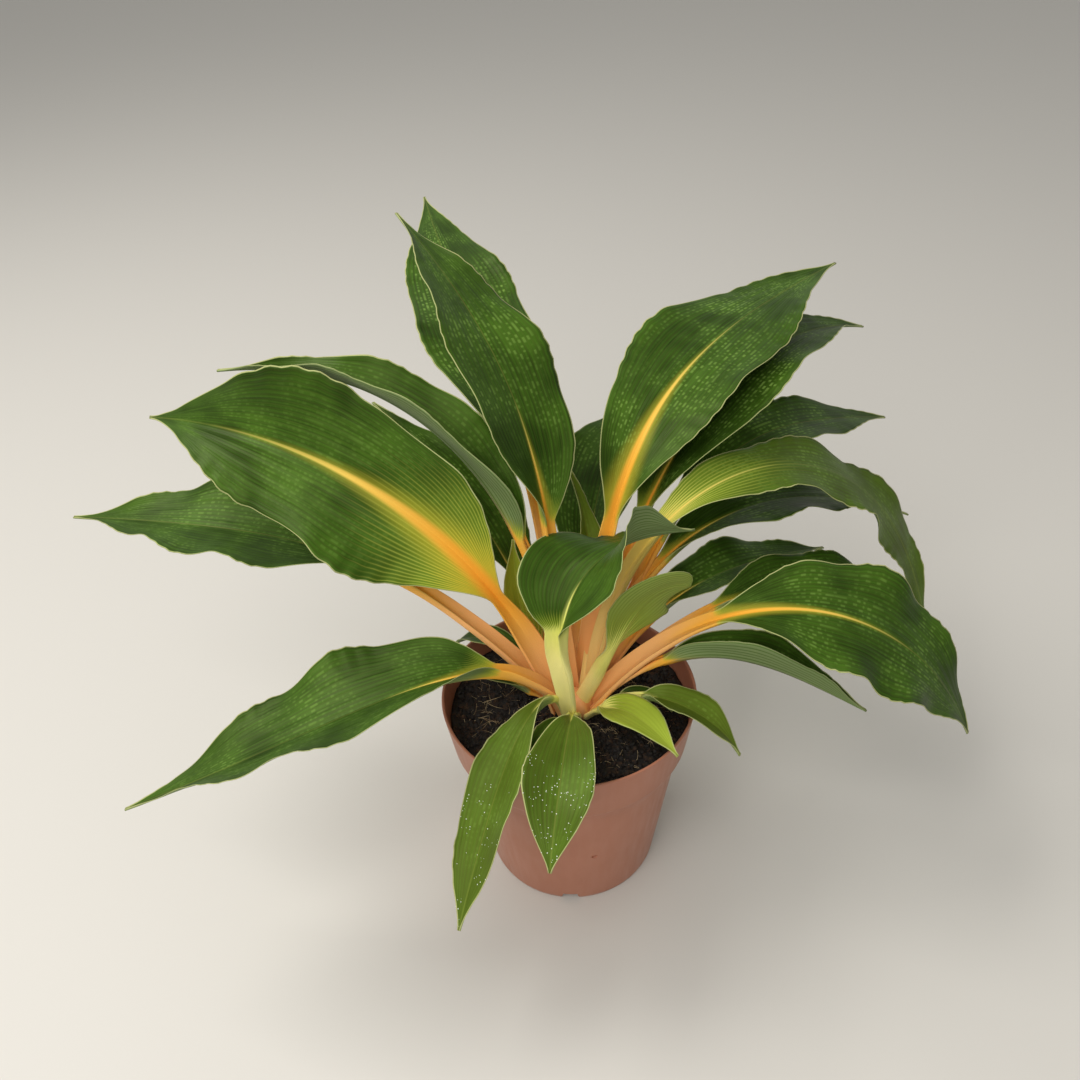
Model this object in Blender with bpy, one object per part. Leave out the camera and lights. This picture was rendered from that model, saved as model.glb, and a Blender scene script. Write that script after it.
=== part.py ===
"""Potted mandarin plant: dark wavy leaves on orange stalks, in peat, in a plastic nursery pot."""
import math
from typing import NamedTuple

import bmesh
import bpy
from mathutils import Vector, noise

MM = 0.001
SHARP_ANGLE = 40.0

# Nursery pot, in millimetres
POT_HEIGHT = 104.0
POT_RADIUS = 60.0
POT_WALL = 1.5
BAND_HEIGHT = 23.5
BAND_RADIUS = 56.5
SHOULDER_HEIGHT = 4.5
WALL_RADIUS = 53.0
FOOT_RADIUS = 41.5
FOOT_RING = 4.0
FOOT_CLEARANCE = 3.5
FLOOR_THICKNESS = 1.8
PAD_RADIUS = 8.0
NOTCH_WIDTH = 9.0
NOTCH_HEIGHT = 4.4
NOTCH_SLOPE = 1.0
NOTCH_COUNT = 4
NOTCH_FRONT_ANGLE = 267.0
DRAIN_RADIUS = 3.5
DRAIN_CIRCLE = 26.0
DRAIN_COUNT = 6
DRAIN_SIDES = 12
POT_SIDES = 48
LIP_ROUND = 0.4
FOOT_ROUND = 1.2
CUTTER_OVERRUN = 2.0
MARK_RADIUS = 1.5
MARK_DEPTH = 1.0
MARK_ANGLE = 282.0
MARK_HEIGHT = 39.0

# Peat, in millimetres
SOIL_LEVEL = 92.0
SOIL_LUMPS = 1.6
SOIL_LUMP_SIZE = 9.0
SOIL_RINGS = 7

# Crown that every leaf grows from, in millimetres
CROWN_X = 3.0
CROWN_Y = -1.0
CROWN_RADIUS = 12.5
CROWN_BOTTOM = 80.0
CROWN_HEEL = 84.0
CROWN_WAIST = 94.0
CROWN_SHOULDER = 99.0
CROWN_TOP = 104.0
CROWN_SIDES = 20
CROWN_FOOT_SHARE = 0.75
CROWN_SHOULDER_SHARE = 0.85
CROWN_TIP_SHARE = 0.45

# Leaves, in millimetres unless named otherwise
GAP = 0.3
BLADE_THICKNESS = 0.7
KEEL_THICKNESS = 2.4
BLADE_ROW = 11.0
BLADE_LEAST_ROWS = 8
STALK_ROW = 13.0
STALK_LEAST_ROWS = 3
BLADE_COLUMNS = (-1.0, -0.55, 0.0, 0.55, 1.0)
TAPER = 2.4  # how slender the blade's two ends are
TIP_HALF_WIDTH = 0.6
TIP_POWER = 8  # how late the tip's own width sets in
TIP_PINCH = 0.6  # how much slimmer the drawn-out tip is
TIP_PINCH_POWER = 9  # how late it is drawn out
THROAT_POWER = 6  # how soon the stalk's width fades along the blade
THROAT_FOLD = 35.0  # degrees that the blade stands up where it leaves the stalk
THROAT_SHARE = 0.16  # share of the blade where that fold fades
CUP = 14.0  # degrees that a half stands up more at its margin
MARGIN_SHIFT = 0.35  # how far the right margin's waves run ahead, in waves
FLIP_SHARP = 9.0  # how suddenly a blade turns over
KEEL_FADE = 3.0  # how fast the midrib thins towards the tip
STALK_WIDTH_SHARE = 0.13
STALK_MIN_WIDTH = 2.2
STALK_DEPTH = 4.0
STALK_SECTION = (  # across and up, in half widths and depths: round below, channelled above
    (1.0, 0.35), (0.75, -0.35), (0.25, -0.75), (-0.25, -0.75), (-0.75, -0.35), (-1.0, 0.35),
    (0.0, 0.0))
WALK_STEP = 2.0


class Leaf(NamedTuple):
    """One leaf: millimetres, degrees, and shares of its own length."""
    name: str
    azimuth: float  # heading at the crown, from +X towards +Y
    turn: float  # how far the heading has swung at the tip
    rise: float  # pitch at the crown
    fall: float  # pitch at the tip
    length: float  # from the crown to the tip, along the midrib
    width: float  # across the blade, laid flat
    stalk: float = 0.25  # share of the length that is stalk
    bend_at: float = 0.5  # share of the length where it bends most
    sharp: float = 2.5  # how suddenly it bends there
    widest: float = 0.42  # share of the blade where it is widest
    roll: float = 0.0  # right side down at the crown
    twist: float = 0.0  # roll added by the tip
    flip: float = 0.0  # roll added suddenly, where the blade turns over
    flip_at: float = 0.6  # share of the length where it turns over
    fold_left: float = 15.0  # how far the left half stands up
    fold_right: float = 15.0  # how far the right half stands up
    waves: float = 3.0  # waves along each margin
    ripple: float = 2.2  # height of the margin's waves
    phase: float = 0.0  # where the waves start
    scallop: float = 0.05  # how much the waves widen and narrow each half
    start_radius: float = 7.0  # distance from the crown's axis
    start_height: float = 95.0
    stalk_width: float = 0.0  # at the blade, where it isn't a plain share of the blade's width
    stalk_flare: float = 1.45  # how much wider the stalk is at the crown
    young: bool = False


LEAVES = [
    Leaf("leaf_left_large", 175, -28, 75, -14, 270, 74, sharp=2, widest=0.43, roll=-47, twist=10,
         fold_left=-2, fold_right=26, waves=2.2, ripple=4.5, phase=0.38, scallop=0.12),
    Leaf("leaf_left_low", 166, -4, 51, -8, 275, 57, stalk=0.35, bend_at=0.36, sharp=3.2, twist=-4,
         fold_left=8, waves=4.2, ripple=2.6, phase=0.5, scallop=0.09),
    Leaf("leaf_left_ribbon", 149, 10, 86, -14, 266, 34, stalk=0.34, bend_at=0.57, sharp=2.8,
         widest=0.34, roll=-13, twist=-17, fold_left=70, fold_right=12, waves=4, phase=0.6),
    Leaf("leaf_tall_front", 125, -6, 88, 13, 272, 50, stalk=0.35, bend_at=0.56, sharp=4.5,
         widest=0.38, roll=8, twist=6, fold_left=8, fold_right=2, waves=3.5, phase=0.2,
         start_radius=10),
    Leaf("leaf_tall_rear", 116, -14, 82, 8, 325, 54, stalk=0.32, bend_at=0.33, sharp=4.5,
         widest=0.45, twist=-8, fold_left=0, fold_right=0, waves=3.5, phase=0.7, start_height=100),
    Leaf("leaf_top_front", 62, -18, 77, 0, 300, 62, stalk=0.27, bend_at=0.4, sharp=4.8, widest=0.46,
         roll=6, twist=-18, fold_left=8, fold_right=-10, waves=2.5, ripple=3, start_radius=11,
         start_height=100),
    Leaf("leaf_top_rear", 52, -8, 70, -22, 298, 56, stalk=0.3, widest=0.4, roll=8, twist=-4,
         fold_right=10, phase=0.45, start_radius=9),
    Leaf("leaf_right_hooked", 36, -26, 89, -74, 345, 36, stalk=0.24, bend_at=0.35, sharp=2.6,
         twist=25, flip=45, flip_at=0.72, fold_left=-8, fold_right=-8, waves=4.5, ripple=3,
         phase=0.5, start_radius=10, stalk_width=8, stalk_flare=1),
    Leaf("leaf_right_high", 44, -6, 59, -21, 270, 34, stalk=0.3, bend_at=0.46, sharp=4.8,
         widest=0.5, roll=5, twist=8, fold_left=6, fold_right=0, phase=0.3, start_radius=9),
    Leaf("leaf_right_shaded", 41, -18, 77, -31, 250, 40, stalk=0.3, bend_at=0.22, sharp=2.3,
         fold_left=4, fold_right=5, waves=4, phase=0.15, start_radius=9),
    Leaf("leaf_right_under", 17, 6, 50, -50, 206, 38, stalk=0.35, bend_at=0.45, sharp=1,
         fold_left=8, fold_right=12, phase=0.5, start_radius=9),
    Leaf("leaf_right_lowest", 36, 2, 52, -20, 178, 34, bend_at=0.25, sharp=3, phase=0.8,
         start_radius=9),
    Leaf("leaf_right_large", 0, -8, 57, -66, 233, 58, stalk=0.33, sharp=2.3, widest=0.48, roll=14,
         twist=4, fold_left=4, fold_right=-12, waves=4, ripple=3, phase=0.25),
    Leaf("leaf_right_folded", 356, 2, 52, -34, 150, 28, stalk=0.3, bend_at=0.37, sharp=3.8, roll=12,
         twist=11, fold_right=80, waves=2.5, ripple=1.5),
    Leaf("leaf_front_left", 208, -22, 74, -20, 226, 63, stalk=0.22, bend_at=0.15, sharp=4,
         widest=0.4, roll=-8, twist=12, fold_left=24, fold_right=4, waves=3.5, ripple=2.6,
         phase=0.43, scallop=0.08),
    Leaf("leaf_hanging_left", 237, 12, 75, -44, 141, 28, stalk=0.19, bend_at=0.24, sharp=5,
         widest=0.54, roll=12, fold_left=14, fold_right=8, waves=2, phase=0.1, start_radius=8),
    Leaf("leaf_hanging_front", 266, -7, 55, -50, 109, 31, stalk=0.2, bend_at=0.6, sharp=1,
         widest=0.56, twist=6, fold_left=8, fold_right=8, waves=2, ripple=1.4, phase=0.6,
         start_radius=8),
    Leaf("leaf_hanging_small", 247, 3, 45, -12, 52, 13, stalk=0.18, bend_at=0.4, sharp=3, waves=1.5,
         ripple=0.8, start_radius=10, start_height=94),
    Leaf("leaf_front_lime", 310, 8, 55, -34, 64, 21, stalk=0.2, bend_at=0.55, sharp=2.4,
         fold_left=6, fold_right=6, waves=1.5, ripple=0.8, start_radius=9, young=True),
    Leaf("leaf_front_right", 333, 4, 60, -60, 87, 20, stalk=0.36, sharp=1, roll=-4, fold_right=14,
         waves=2, ripple=1, start_radius=10),
    Leaf("leaf_small_right", 324, 0, 40, -16, 44, 10, stalk=0.26, bend_at=0.4, sharp=2, waves=1.5,
         ripple=0.6, start_radius=11, start_height=96),
    Leaf("leaf_small_inner", 345, 2, 48, -44, 42, 10, stalk=0.3, bend_at=0.6, sharp=3, waves=1.5,
         ripple=0.6, start_radius=11),
    Leaf("leaf_centre_open", 78, -60, 104, -12, 151, 57, stalk=0.43, bend_at=0.57, sharp=4.5,
         widest=0.37, roll=-18, twist=20, flip=-55, flip_at=0.72, fold_left=20, fold_right=14,
         waves=1.4, ripple=4.5, start_radius=-13, start_height=94, stalk_width=15,
         stalk_flare=0.35),
    Leaf("leaf_centre_rolled", -18, 40, 68, -30, 93, 41, stalk=0.34, bend_at=0.9, sharp=5,
         widest=0.72, roll=-84, twist=9, fold_left=0, fold_right=-20, waves=1.5, ripple=1.2,
         start_radius=2, start_height=96, stalk_width=7, stalk_flare=1, young=True),
    Leaf("leaf_centre_bract", 156, -72, 62, 60, 82, 20, stalk=0.28, fold_left=30, fold_right=20,
         waves=1.5, ripple=1, start_radius=9, stalk_width=6, young=True),
    Leaf("leaf_back_twisted", 62, 55, 66, 34, 118, 14, stalk=0.35, twist=30, fold_left=30, waves=2,
         ripple=1.5, start_radius=5, young=True),
    Leaf("leaf_back_shade", 86, -20, 41, -4, 206, 48, sharp=2.4, roll=-5, twist=-8, phase=0.4),
    Leaf("leaf_left_shade", 125, 12, 58, 16, 180, 40, sharp=2, roll=10, fold_left=24, phase=0.9),
    Leaf("leaf_low_left", 152, -7, 60, -50, 74, 14, stalk=0.3, bend_at=0.54, sharp=2, waves=1.5,
         ripple=0.8, start_radius=10),
    Leaf("leaf_low_left_small", 176, -4, 46, -4, 50, 9, stalk=0.26, sharp=2, waves=1.5, ripple=0.6,
         start_radius=11),
]


def clear_scene():
    for item in list(bpy.data.objects):
        bpy.data.objects.remove(item, do_unlink=True)


def principled(name, colour, roughness):
    """A plain material; colour is linear red, green and blue."""
    material = bpy.data.materials.new(name)
    material.use_nodes = True
    shader = material.node_tree.nodes["Principled BSDF"]
    shader.inputs["Base Color"].default_value = (*colour, 1.0)
    shader.inputs["Roughness"].default_value = roughness
    shader.inputs["Metallic"].default_value = 0.0
    material.diffuse_color = (*colour, 1.0)
    return material


def add_object(name, bm, material):
    """Turn a mesh drawn in millimetres into a named object in metres."""
    for vert in bm.verts:
        vert.co *= MM
    bm.normal_update()
    mesh = bpy.data.meshes.new(name)
    bm.to_mesh(mesh)
    bm.free()
    mesh.shade_smooth()
    mesh.set_sharp_from_angle(angle=math.radians(SHARP_ANGLE))
    item = bpy.data.objects.new(name, mesh)
    bpy.context.collection.objects.link(item)
    if material:
        mesh.materials.append(material)
    return item


def bake_modifiers(item):
    """Swap an object's mesh for the one that its modifiers give."""
    graph = bpy.context.evaluated_depsgraph_get()
    mesh = bpy.data.meshes.new_from_object(item.evaluated_get(graph))
    item.modifiers.clear()
    item.data = mesh


def loft(bm, rings):
    """Skin closed rings of equal size, and close both ends."""
    loops = [[bm.verts.new(point) for point in ring] for ring in rings]
    for lower, upper in zip(loops, loops[1:]):
        count = len(lower)
        for i in range(count):
            j = (i + 1) % count
            bm.faces.new((lower[i], lower[j], upper[j], upper[i]))
    bm.faces.new(reversed(loops[0]))
    bm.faces.new(loops[-1])
    bmesh.ops.triangulate(bm, faces=bm.faces[:])
    bmesh.ops.recalc_face_normals(bm, faces=bm.faces[:])


def circle(radius, height, sides, centre=(0.0, 0.0)):
    """Points of a level circle, counterclockwise from +X."""
    points = []
    for i in range(sides):
        angle = math.tau * i / sides
        points.append(Vector((centre[0] + radius * math.cos(angle),
                              centre[1] + radius * math.sin(angle), height)))
    return points


# Pot

def outer_radius(height):
    """Outer radius: a tapered wall, a sloping shoulder, then the rim band."""
    band_bottom = POT_HEIGHT - BAND_HEIGHT
    wall_top = band_bottom - SHOULDER_HEIGHT
    if height > band_bottom:
        return BAND_RADIUS + (POT_RADIUS - BAND_RADIUS) * (height - band_bottom) / BAND_HEIGHT
    if height > wall_top:
        return WALL_RADIUS + (BAND_RADIUS - WALL_RADIUS) * (height - wall_top) / SHOULDER_HEIGHT
    return FOOT_RADIUS + (WALL_RADIUS - FOOT_RADIUS) * height / wall_top


def inner_radius(height):
    return outer_radius(height) - POT_WALL


def pot_profile():
    """The pot's section as radius and height, from under the floor, out, up, over and back in."""
    band_bottom = POT_HEIGHT - BAND_HEIGHT
    wall_top = band_bottom - SHOULDER_HEIGHT
    floor_top = FOOT_CLEARANCE + FLOOR_THICKNESS
    return [
        (PAD_RADIUS, 0.0),
        (PAD_RADIUS + LIP_ROUND, FOOT_CLEARANCE),
        (FOOT_RADIUS - FOOT_RING, FOOT_CLEARANCE),
        (FOOT_RADIUS - FOOT_RING + LIP_ROUND, 0.0),
        (FOOT_RADIUS - FOOT_ROUND, 0.0),
        (outer_radius(FOOT_ROUND), FOOT_ROUND),
        (WALL_RADIUS, wall_top),
        (BAND_RADIUS - LIP_ROUND, band_bottom - 2 * LIP_ROUND),
        (BAND_RADIUS, band_bottom),
        (outer_radius(POT_HEIGHT - 2 * LIP_ROUND), POT_HEIGHT - 2 * LIP_ROUND),
        (POT_RADIUS - LIP_ROUND, POT_HEIGHT),
        (POT_RADIUS - POT_WALL + LIP_ROUND, POT_HEIGHT),
        (inner_radius(POT_HEIGHT - 2 * LIP_ROUND), POT_HEIGHT - 2 * LIP_ROUND),
        (inner_radius(band_bottom), band_bottom),
        (inner_radius(wall_top), wall_top),
        (inner_radius(floor_top + POT_WALL), floor_top + POT_WALL),
        (inner_radius(floor_top) - POT_WALL, floor_top),
    ]


def make_pot(material):
    bm = bmesh.new()
    loft(bm, [circle(radius, height, POT_SIDES) for radius, height in pot_profile()])
    pot = add_object("pot", bm, material)
    cutters = bpy.data.collections.new("pot_cutters")
    bpy.context.scene.collection.children.link(cutters)
    for i in range(NOTCH_COUNT):
        angle = math.radians(NOTCH_FRONT_ANGLE) + math.tau * i / NOTCH_COUNT
        cutters.objects.link(notch_cutter(i, angle))
    for i in range(DRAIN_COUNT):
        angle = math.tau * (i + 0.5) / DRAIN_COUNT
        cutters.objects.link(drain_cutter(i, angle))
    cutters.objects.link(mark_cutter())
    cut = pot.modifiers.new("openings", "BOOLEAN")
    cut.operation = "DIFFERENCE"
    cut.operand_type = "COLLECTION"
    cut.collection = cutters
    return pot


def as_cutter(item):
    bpy.context.collection.objects.unlink(item)
    item.hide_render = True
    item.display_type = "WIRE"
    return item


def notch_cutter(index, angle):
    """A bar that opens the foot ring at one angle, with sloping sides."""
    bm = bmesh.new()
    along = Vector((math.cos(angle), math.sin(angle), 0.0))
    across = Vector((-along.y, along.x, 0.0))
    rings = []
    low = Vector((0.0, 0.0, -CUTTER_OVERRUN))
    high = Vector((0.0, 0.0, NOTCH_HEIGHT))
    wide = across * NOTCH_WIDTH / 2
    narrow = across * (NOTCH_WIDTH / 2 - NOTCH_SLOPE)
    for distance in (FOOT_RADIUS - FOOT_RING - CUTTER_OVERRUN, FOOT_RADIUS + CUTTER_OVERRUN):
        centre = along * distance
        rings.append([centre - wide + low, centre + wide + low,
                      centre + narrow + high, centre - narrow + high])
    loft(bm, rings)
    return as_cutter(add_object(f"notch_cutter_{index}", bm, None))


def drain_cutter(index, angle):
    """A round bar that drills one drain hole through the floor."""
    bm = bmesh.new()
    centre = (DRAIN_CIRCLE * math.cos(angle), DRAIN_CIRCLE * math.sin(angle))
    top = FOOT_CLEARANCE + FLOOR_THICKNESS + CUTTER_OVERRUN
    loft(bm, [circle(DRAIN_RADIUS, height, DRAIN_SIDES, centre)
              for height in (FOOT_CLEARANCE - CUTTER_OVERRUN, top)])
    return as_cutter(add_object(f"drain_cutter_{index}", bm, None))


def mark_cutter():
    """A blunt cone that leaves the small round mark of the mould in the wall."""
    bm = bmesh.new()
    angle = math.radians(MARK_ANGLE)
    along = Vector((math.cos(angle), math.sin(angle), 0.0))
    across = Vector((-along.y, along.x, 0.0))
    surface = along * outer_radius(MARK_HEIGHT) + Vector((0.0, 0.0, MARK_HEIGHT))
    rings = []
    for depth, radius in ((-MARK_DEPTH, MARK_RADIUS / 3), (MARK_DEPTH, MARK_RADIUS * 5 / 3)):
        rings.append([surface + along * depth + across * point.x + Vector((0.0, 0.0, point.y))
                      for point in circle(radius, 0.0, DRAIN_SIDES)])
    loft(bm, rings)
    return as_cutter(add_object("mark_cutter", bm, None))


# Peat

def soil_ring(share, height):
    """A ring between the crown's hole at 0 and the pot's wall at 1."""
    hole = CROWN_RADIUS + GAP
    outer = inner_radius(SOIL_LEVEL) - GAP
    centre = (CROWN_X * (1 - share), CROWN_Y * (1 - share))
    ring = circle(hole + (outer - hole) * share, height, POT_SIDES, centre)
    lump = SOIL_LUMPS * math.sin(math.pi * share) ** 0.5
    for point in ring:
        point.z += lump * noise.noise(Vector((point.x, point.y, 0.0)) / SOIL_LUMP_SIZE)
    return ring


def make_soil(material):
    """Peat that fills the pot, with a plain hole where the crown stands."""
    bottom = FOOT_CLEARANCE + FLOOR_THICKNESS + GAP
    band_bottom = POT_HEIGHT - BAND_HEIGHT
    hole = circle(CROWN_RADIUS + GAP, CROWN_BOTTOM - GAP, POT_SIDES, (CROWN_X, CROWN_Y))
    rings = [hole]
    rings += [soil_ring(i / SOIL_RINGS, SOIL_LEVEL) for i in range(SOIL_RINGS + 1)]
    for height in (band_bottom, band_bottom - SHOULDER_HEIGHT, bottom + POT_WALL):
        rings.append(circle(inner_radius(height) - GAP, height, POT_SIDES))
    rings.append(circle(inner_radius(bottom) - GAP - POT_WALL, bottom, POT_SIDES))
    bm = bmesh.new()
    loft(bm, rings)
    return add_object("soil", bm, material)


# Leaves

def ramp(share, at, sharp):
    """Go from 0 to 1 along a leaf, fastest at one share of its length."""
    start = math.tanh(-sharp * at)
    end = math.tanh(sharp * (1 - at))
    return (math.tanh(sharp * (share - at)) - start) / (end - start)


def leaf_axes(leaf, share):
    """The forward, right and upward directions at a share of the leaf's length."""
    heading = math.radians(leaf.azimuth + leaf.turn * share)
    pitch = math.radians(leaf.rise + (leaf.fall - leaf.rise) * ramp(share, leaf.bend_at, leaf.sharp))
    roll = math.radians(leaf.roll + leaf.twist * share
                        + leaf.flip * ramp(share, leaf.flip_at, FLIP_SHARP))
    forward = Vector((math.cos(heading) * math.cos(pitch),
                      math.sin(heading) * math.cos(pitch), math.sin(pitch)))
    level = Vector((math.sin(heading), -math.cos(heading), 0.0))
    upright = level.cross(forward)
    right = level * math.cos(roll) - upright * math.sin(roll)
    up = upright * math.cos(roll) + level * math.sin(roll)
    return forward, right, up


def leaf_point(leaf, share):
    """The midrib's place at a share of the leaf's length, walked out from the crown."""
    azimuth = math.radians(leaf.azimuth)
    point = Vector((CROWN_X + leaf.start_radius * math.cos(azimuth),
                    CROWN_Y + leaf.start_radius * math.sin(azimuth), leaf.start_height))
    steps = max(1, round(share * leaf.length / WALK_STEP))
    for i in range(steps):
        forward = leaf_axes(leaf, share * (i + 0.5) / steps)[0]
        point += forward * (share * leaf.length / steps)
    return point


def stalk_half_width(leaf):
    """Half the stalk's width where the blade starts."""
    return max(STALK_MIN_WIDTH, leaf.stalk_width or leaf.width * STALK_WIDTH_SHARE) / 2


def blade_half_width(leaf, t):
    """Half the blade's width at t, from 0 at the stalk to 1 at the tip."""
    grow = (t / leaf.widest) ** (TAPER * leaf.widest)
    shrink = ((1 - t) / (1 - leaf.widest)) ** (TAPER * (1 - leaf.widest))
    spread = leaf.width / 2 * grow * shrink * (1 - TIP_PINCH * t ** TIP_PINCH_POWER)
    throat = stalk_half_width(leaf) * (1 - t) ** THROAT_POWER
    return math.hypot(spread, throat) + TIP_HALF_WIDTH * t ** TIP_POWER


def blade_point(leaf, t, across):
    """A point of the blade's upper face; across is -1 at the left margin and 1 at the right."""
    first = leaf.stalk + GAP / leaf.length
    share = first + (1 - first) * t
    right, up = leaf_axes(leaf, share)[1:]
    fold = leaf.fold_right if across > 0 else leaf.fold_left
    fold += THROAT_FOLD * math.exp(-((t / THROAT_SHARE) ** 2)) + CUP * abs(across) / 2
    side = math.copysign(1, across)
    cycle = math.tau * (leaf.waves * t + leaf.phase + (MARGIN_SHIFT if across > 0 else 0.0))
    swell = across ** 2 * math.sin(math.pi * t)
    wave = leaf.ripple * swell * math.sin(cycle)
    scallop = 1 + leaf.scallop * swell * math.cos(cycle)
    reach = abs(across) * blade_half_width(leaf, t) * scallop
    return (leaf_point(leaf, share) + right * side * reach * math.cos(math.radians(fold))
            + up * (reach * math.sin(math.radians(fold)) + wave))


def make_blade(leaf, material):
    """The blade: a waved sheet of triangles, thickened under its upper face, with a keel."""
    rows = max(BLADE_LEAST_ROWS, round(leaf.length * (1 - leaf.stalk) / BLADE_ROW))
    bm = bmesh.new()
    grid = [[bm.verts.new(blade_point(leaf, i / rows, across)) for across in BLADE_COLUMNS]
            for i in range(rows + 1)]
    middle = len(BLADE_COLUMNS) // 2
    for lower, upper in zip(grid, grid[1:]):
        for j in range(len(BLADE_COLUMNS) - 1):
            corners = (lower[j], lower[j + 1], upper[j + 1], upper[j])
            if j < middle:
                bm.faces.new((corners[0], corners[1], corners[2]))
                bm.faces.new((corners[0], corners[2], corners[3]))
            else:
                bm.faces.new((corners[0], corners[1], corners[3]))
                bm.faces.new((corners[1], corners[2], corners[3]))
    blade = add_object(leaf.name, bm, material)
    keel = blade.vertex_groups.new(name="keel")
    for i in range(rows + 1):
        keel.add([i * len(BLADE_COLUMNS) + middle], math.exp(-KEEL_FADE * i / rows), "REPLACE")
    solid = blade.modifiers.new("thickness", "SOLIDIFY")
    solid.thickness = KEEL_THICKNESS * MM
    solid.offset = -1.0
    solid.vertex_group = keel.name
    solid.thickness_vertex_group = BLADE_THICKNESS / KEEL_THICKNESS
    return blade


def stalk_ring(leaf, share):
    """One section of the stalk, across the way that it runs."""
    centre = leaf_point(leaf, share)
    right, up = leaf_axes(leaf, share)[1:]
    flare = 1 + (leaf.stalk_flare - 1) * (1 - share / leaf.stalk)
    half = stalk_half_width(leaf) * flare
    depth = min(half, STALK_DEPTH)
    return [centre + right * half * x + up * depth * y for x, y in STALK_SECTION]


def make_stalk(leaf, material):
    last = leaf.stalk - GAP / leaf.length
    rows = max(STALK_LEAST_ROWS, round(leaf.length * leaf.stalk / STALK_ROW))
    bm = bmesh.new()
    loft(bm, [stalk_ring(leaf, last * i / rows) for i in range(rows + 1)])
    return add_object("stalk_of_" + leaf.name, bm, material)


def make_crown(material):
    """The crown, with its foot in the peat, and every stalk grown into it as one body."""
    profile = [(CROWN_FOOT_SHARE, CROWN_BOTTOM), (1.0, CROWN_HEEL), (1.0, CROWN_WAIST),
               (CROWN_SHOULDER_SHARE, CROWN_SHOULDER), (CROWN_TIP_SHARE, CROWN_TOP)]
    bm = bmesh.new()
    loft(bm, [circle(CROWN_RADIUS * share, height, CROWN_SIDES, (CROWN_X, CROWN_Y))
              for share, height in profile])
    crown = add_object("crown_and_stalks", bm, material)
    stalks = bpy.data.collections.new("stalks")
    for leaf in LEAVES:
        stalk = make_stalk(leaf, material)
        bpy.context.collection.objects.unlink(stalk)
        stalks.objects.link(stalk)
    join = crown.modifiers.new("grown_together", "BOOLEAN")
    join.operation = "UNION"
    join.operand_type = "COLLECTION"
    join.collection = stalks
    bpy.context.view_layer.update()
    bake_modifiers(crown)
    for stalk in list(stalks.objects):
        bpy.data.objects.remove(stalk, do_unlink=True)
    bpy.data.collections.remove(stalks)
    return crown


def main():
    clear_scene()
    plastic = principled("terracotta_plastic", (0.36, 0.16, 0.105), 0.45)
    peat = principled("peat", (0.012, 0.008, 0.006), 0.95)
    orange = principled("stalk_orange", (0.78, 0.36, 0.10), 0.45)
    green = principled("leaf_green", (0.045, 0.12, 0.022), 0.4)
    lime = principled("young_leaf", (0.33, 0.47, 0.08), 0.45)
    make_pot(plastic)
    make_soil(peat)
    make_crown(orange)
    for leaf in LEAVES:
        make_blade(leaf, lime if leaf.young else green)


main()
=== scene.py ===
"""Potted mandarin plant: waxy waved leaves on orange stalks, in peat, in a plastic nursery pot."""
import math
from typing import NamedTuple

import bpy
import numpy as np
from bpy.props import FloatProperty, FloatVectorProperty, IntProperty, PointerProperty
from mathutils import Matrix, Vector, noise


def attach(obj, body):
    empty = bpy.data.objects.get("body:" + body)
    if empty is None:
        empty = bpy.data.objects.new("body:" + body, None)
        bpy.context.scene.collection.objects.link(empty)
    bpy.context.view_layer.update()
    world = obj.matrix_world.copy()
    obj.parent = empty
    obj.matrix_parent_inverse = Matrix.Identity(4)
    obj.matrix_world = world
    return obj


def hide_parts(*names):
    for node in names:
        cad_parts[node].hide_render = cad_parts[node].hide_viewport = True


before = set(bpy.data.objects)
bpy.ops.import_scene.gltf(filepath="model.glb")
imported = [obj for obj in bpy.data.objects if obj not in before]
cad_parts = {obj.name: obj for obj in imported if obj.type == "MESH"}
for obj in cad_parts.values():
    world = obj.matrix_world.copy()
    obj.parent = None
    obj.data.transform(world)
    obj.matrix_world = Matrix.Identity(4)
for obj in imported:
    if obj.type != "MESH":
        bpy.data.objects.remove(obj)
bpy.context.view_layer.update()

bl_info = {
    "name": "Potted mandarin plant",
    "version": (1, 0, 0),
    "blender": (4, 5, 0),
    "location": "3D View > Sidebar > Plant",
    "description": "Dresses the packed plant: pot, peat, crown, leaves and a plain stage",
    "category": "Object",
}

MM = 0.001

# Nursery pot, in millimetres
SHOULDER_HEIGHT = 4.5
WALL_RADIUS = 53.0
BAND_RADIUS = 56.5
FOOT_RADIUS = 41.5
FOOT_RING = 4.0
FOOT_CLEARANCE = 3.5
FOOT_ROUND = 1.2
FLOOR_THICKNESS = 1.8
PAD_RADIUS = 8.0
LIP_ROUND = 0.45
NOTCH_WIDTH = 9.0
NOTCH_HEIGHT = 4.4
NOTCH_SLOPE = 1.0
NOTCH_COUNT = 4
NOTCH_FRONT_ANGLE = 267.0
DRAIN_RADIUS = 3.5
DRAIN_CIRCLE = 26.0
DRAIN_COUNT = 6
MARK_RADIUS = 1.5
MARK_DEPTH = 1.0
MARK_SPREAD = 1.3  # the mark's wide end, as a share of its radius
MARK_ANGLE = 282.0
MARK_HEIGHT = 39.0
CUTTER_OVERRUN = 2.0
CUTTER_SIDES = 32
RAIL_RADIUS = 1.0
POT_SIDES = 144
FILLET_STEPS = 3
POT_SHARP_ANGLE = 40.0  # edges that turn by more degrees stay sharp

# Peat, in millimetres
PEAT_CLEARANCE = 0.3
CRUMB_CLEARANCE = 2.0
FIBRE_CLEARANCE = 7.0
PEAT_LOW_RING = 76.5
PEAT_CHAMFER = 1.5
PEAT_RINGS = 44
PEAT_SIDES = 150
PEAT_OCTAVES = ((14.0, 2.2), (5.0, 1.3), (2.0, 0.6))  # lump size and height
LITTER_LEAN = -2.5  # below 0, patches of litter lie more on the left

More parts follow.
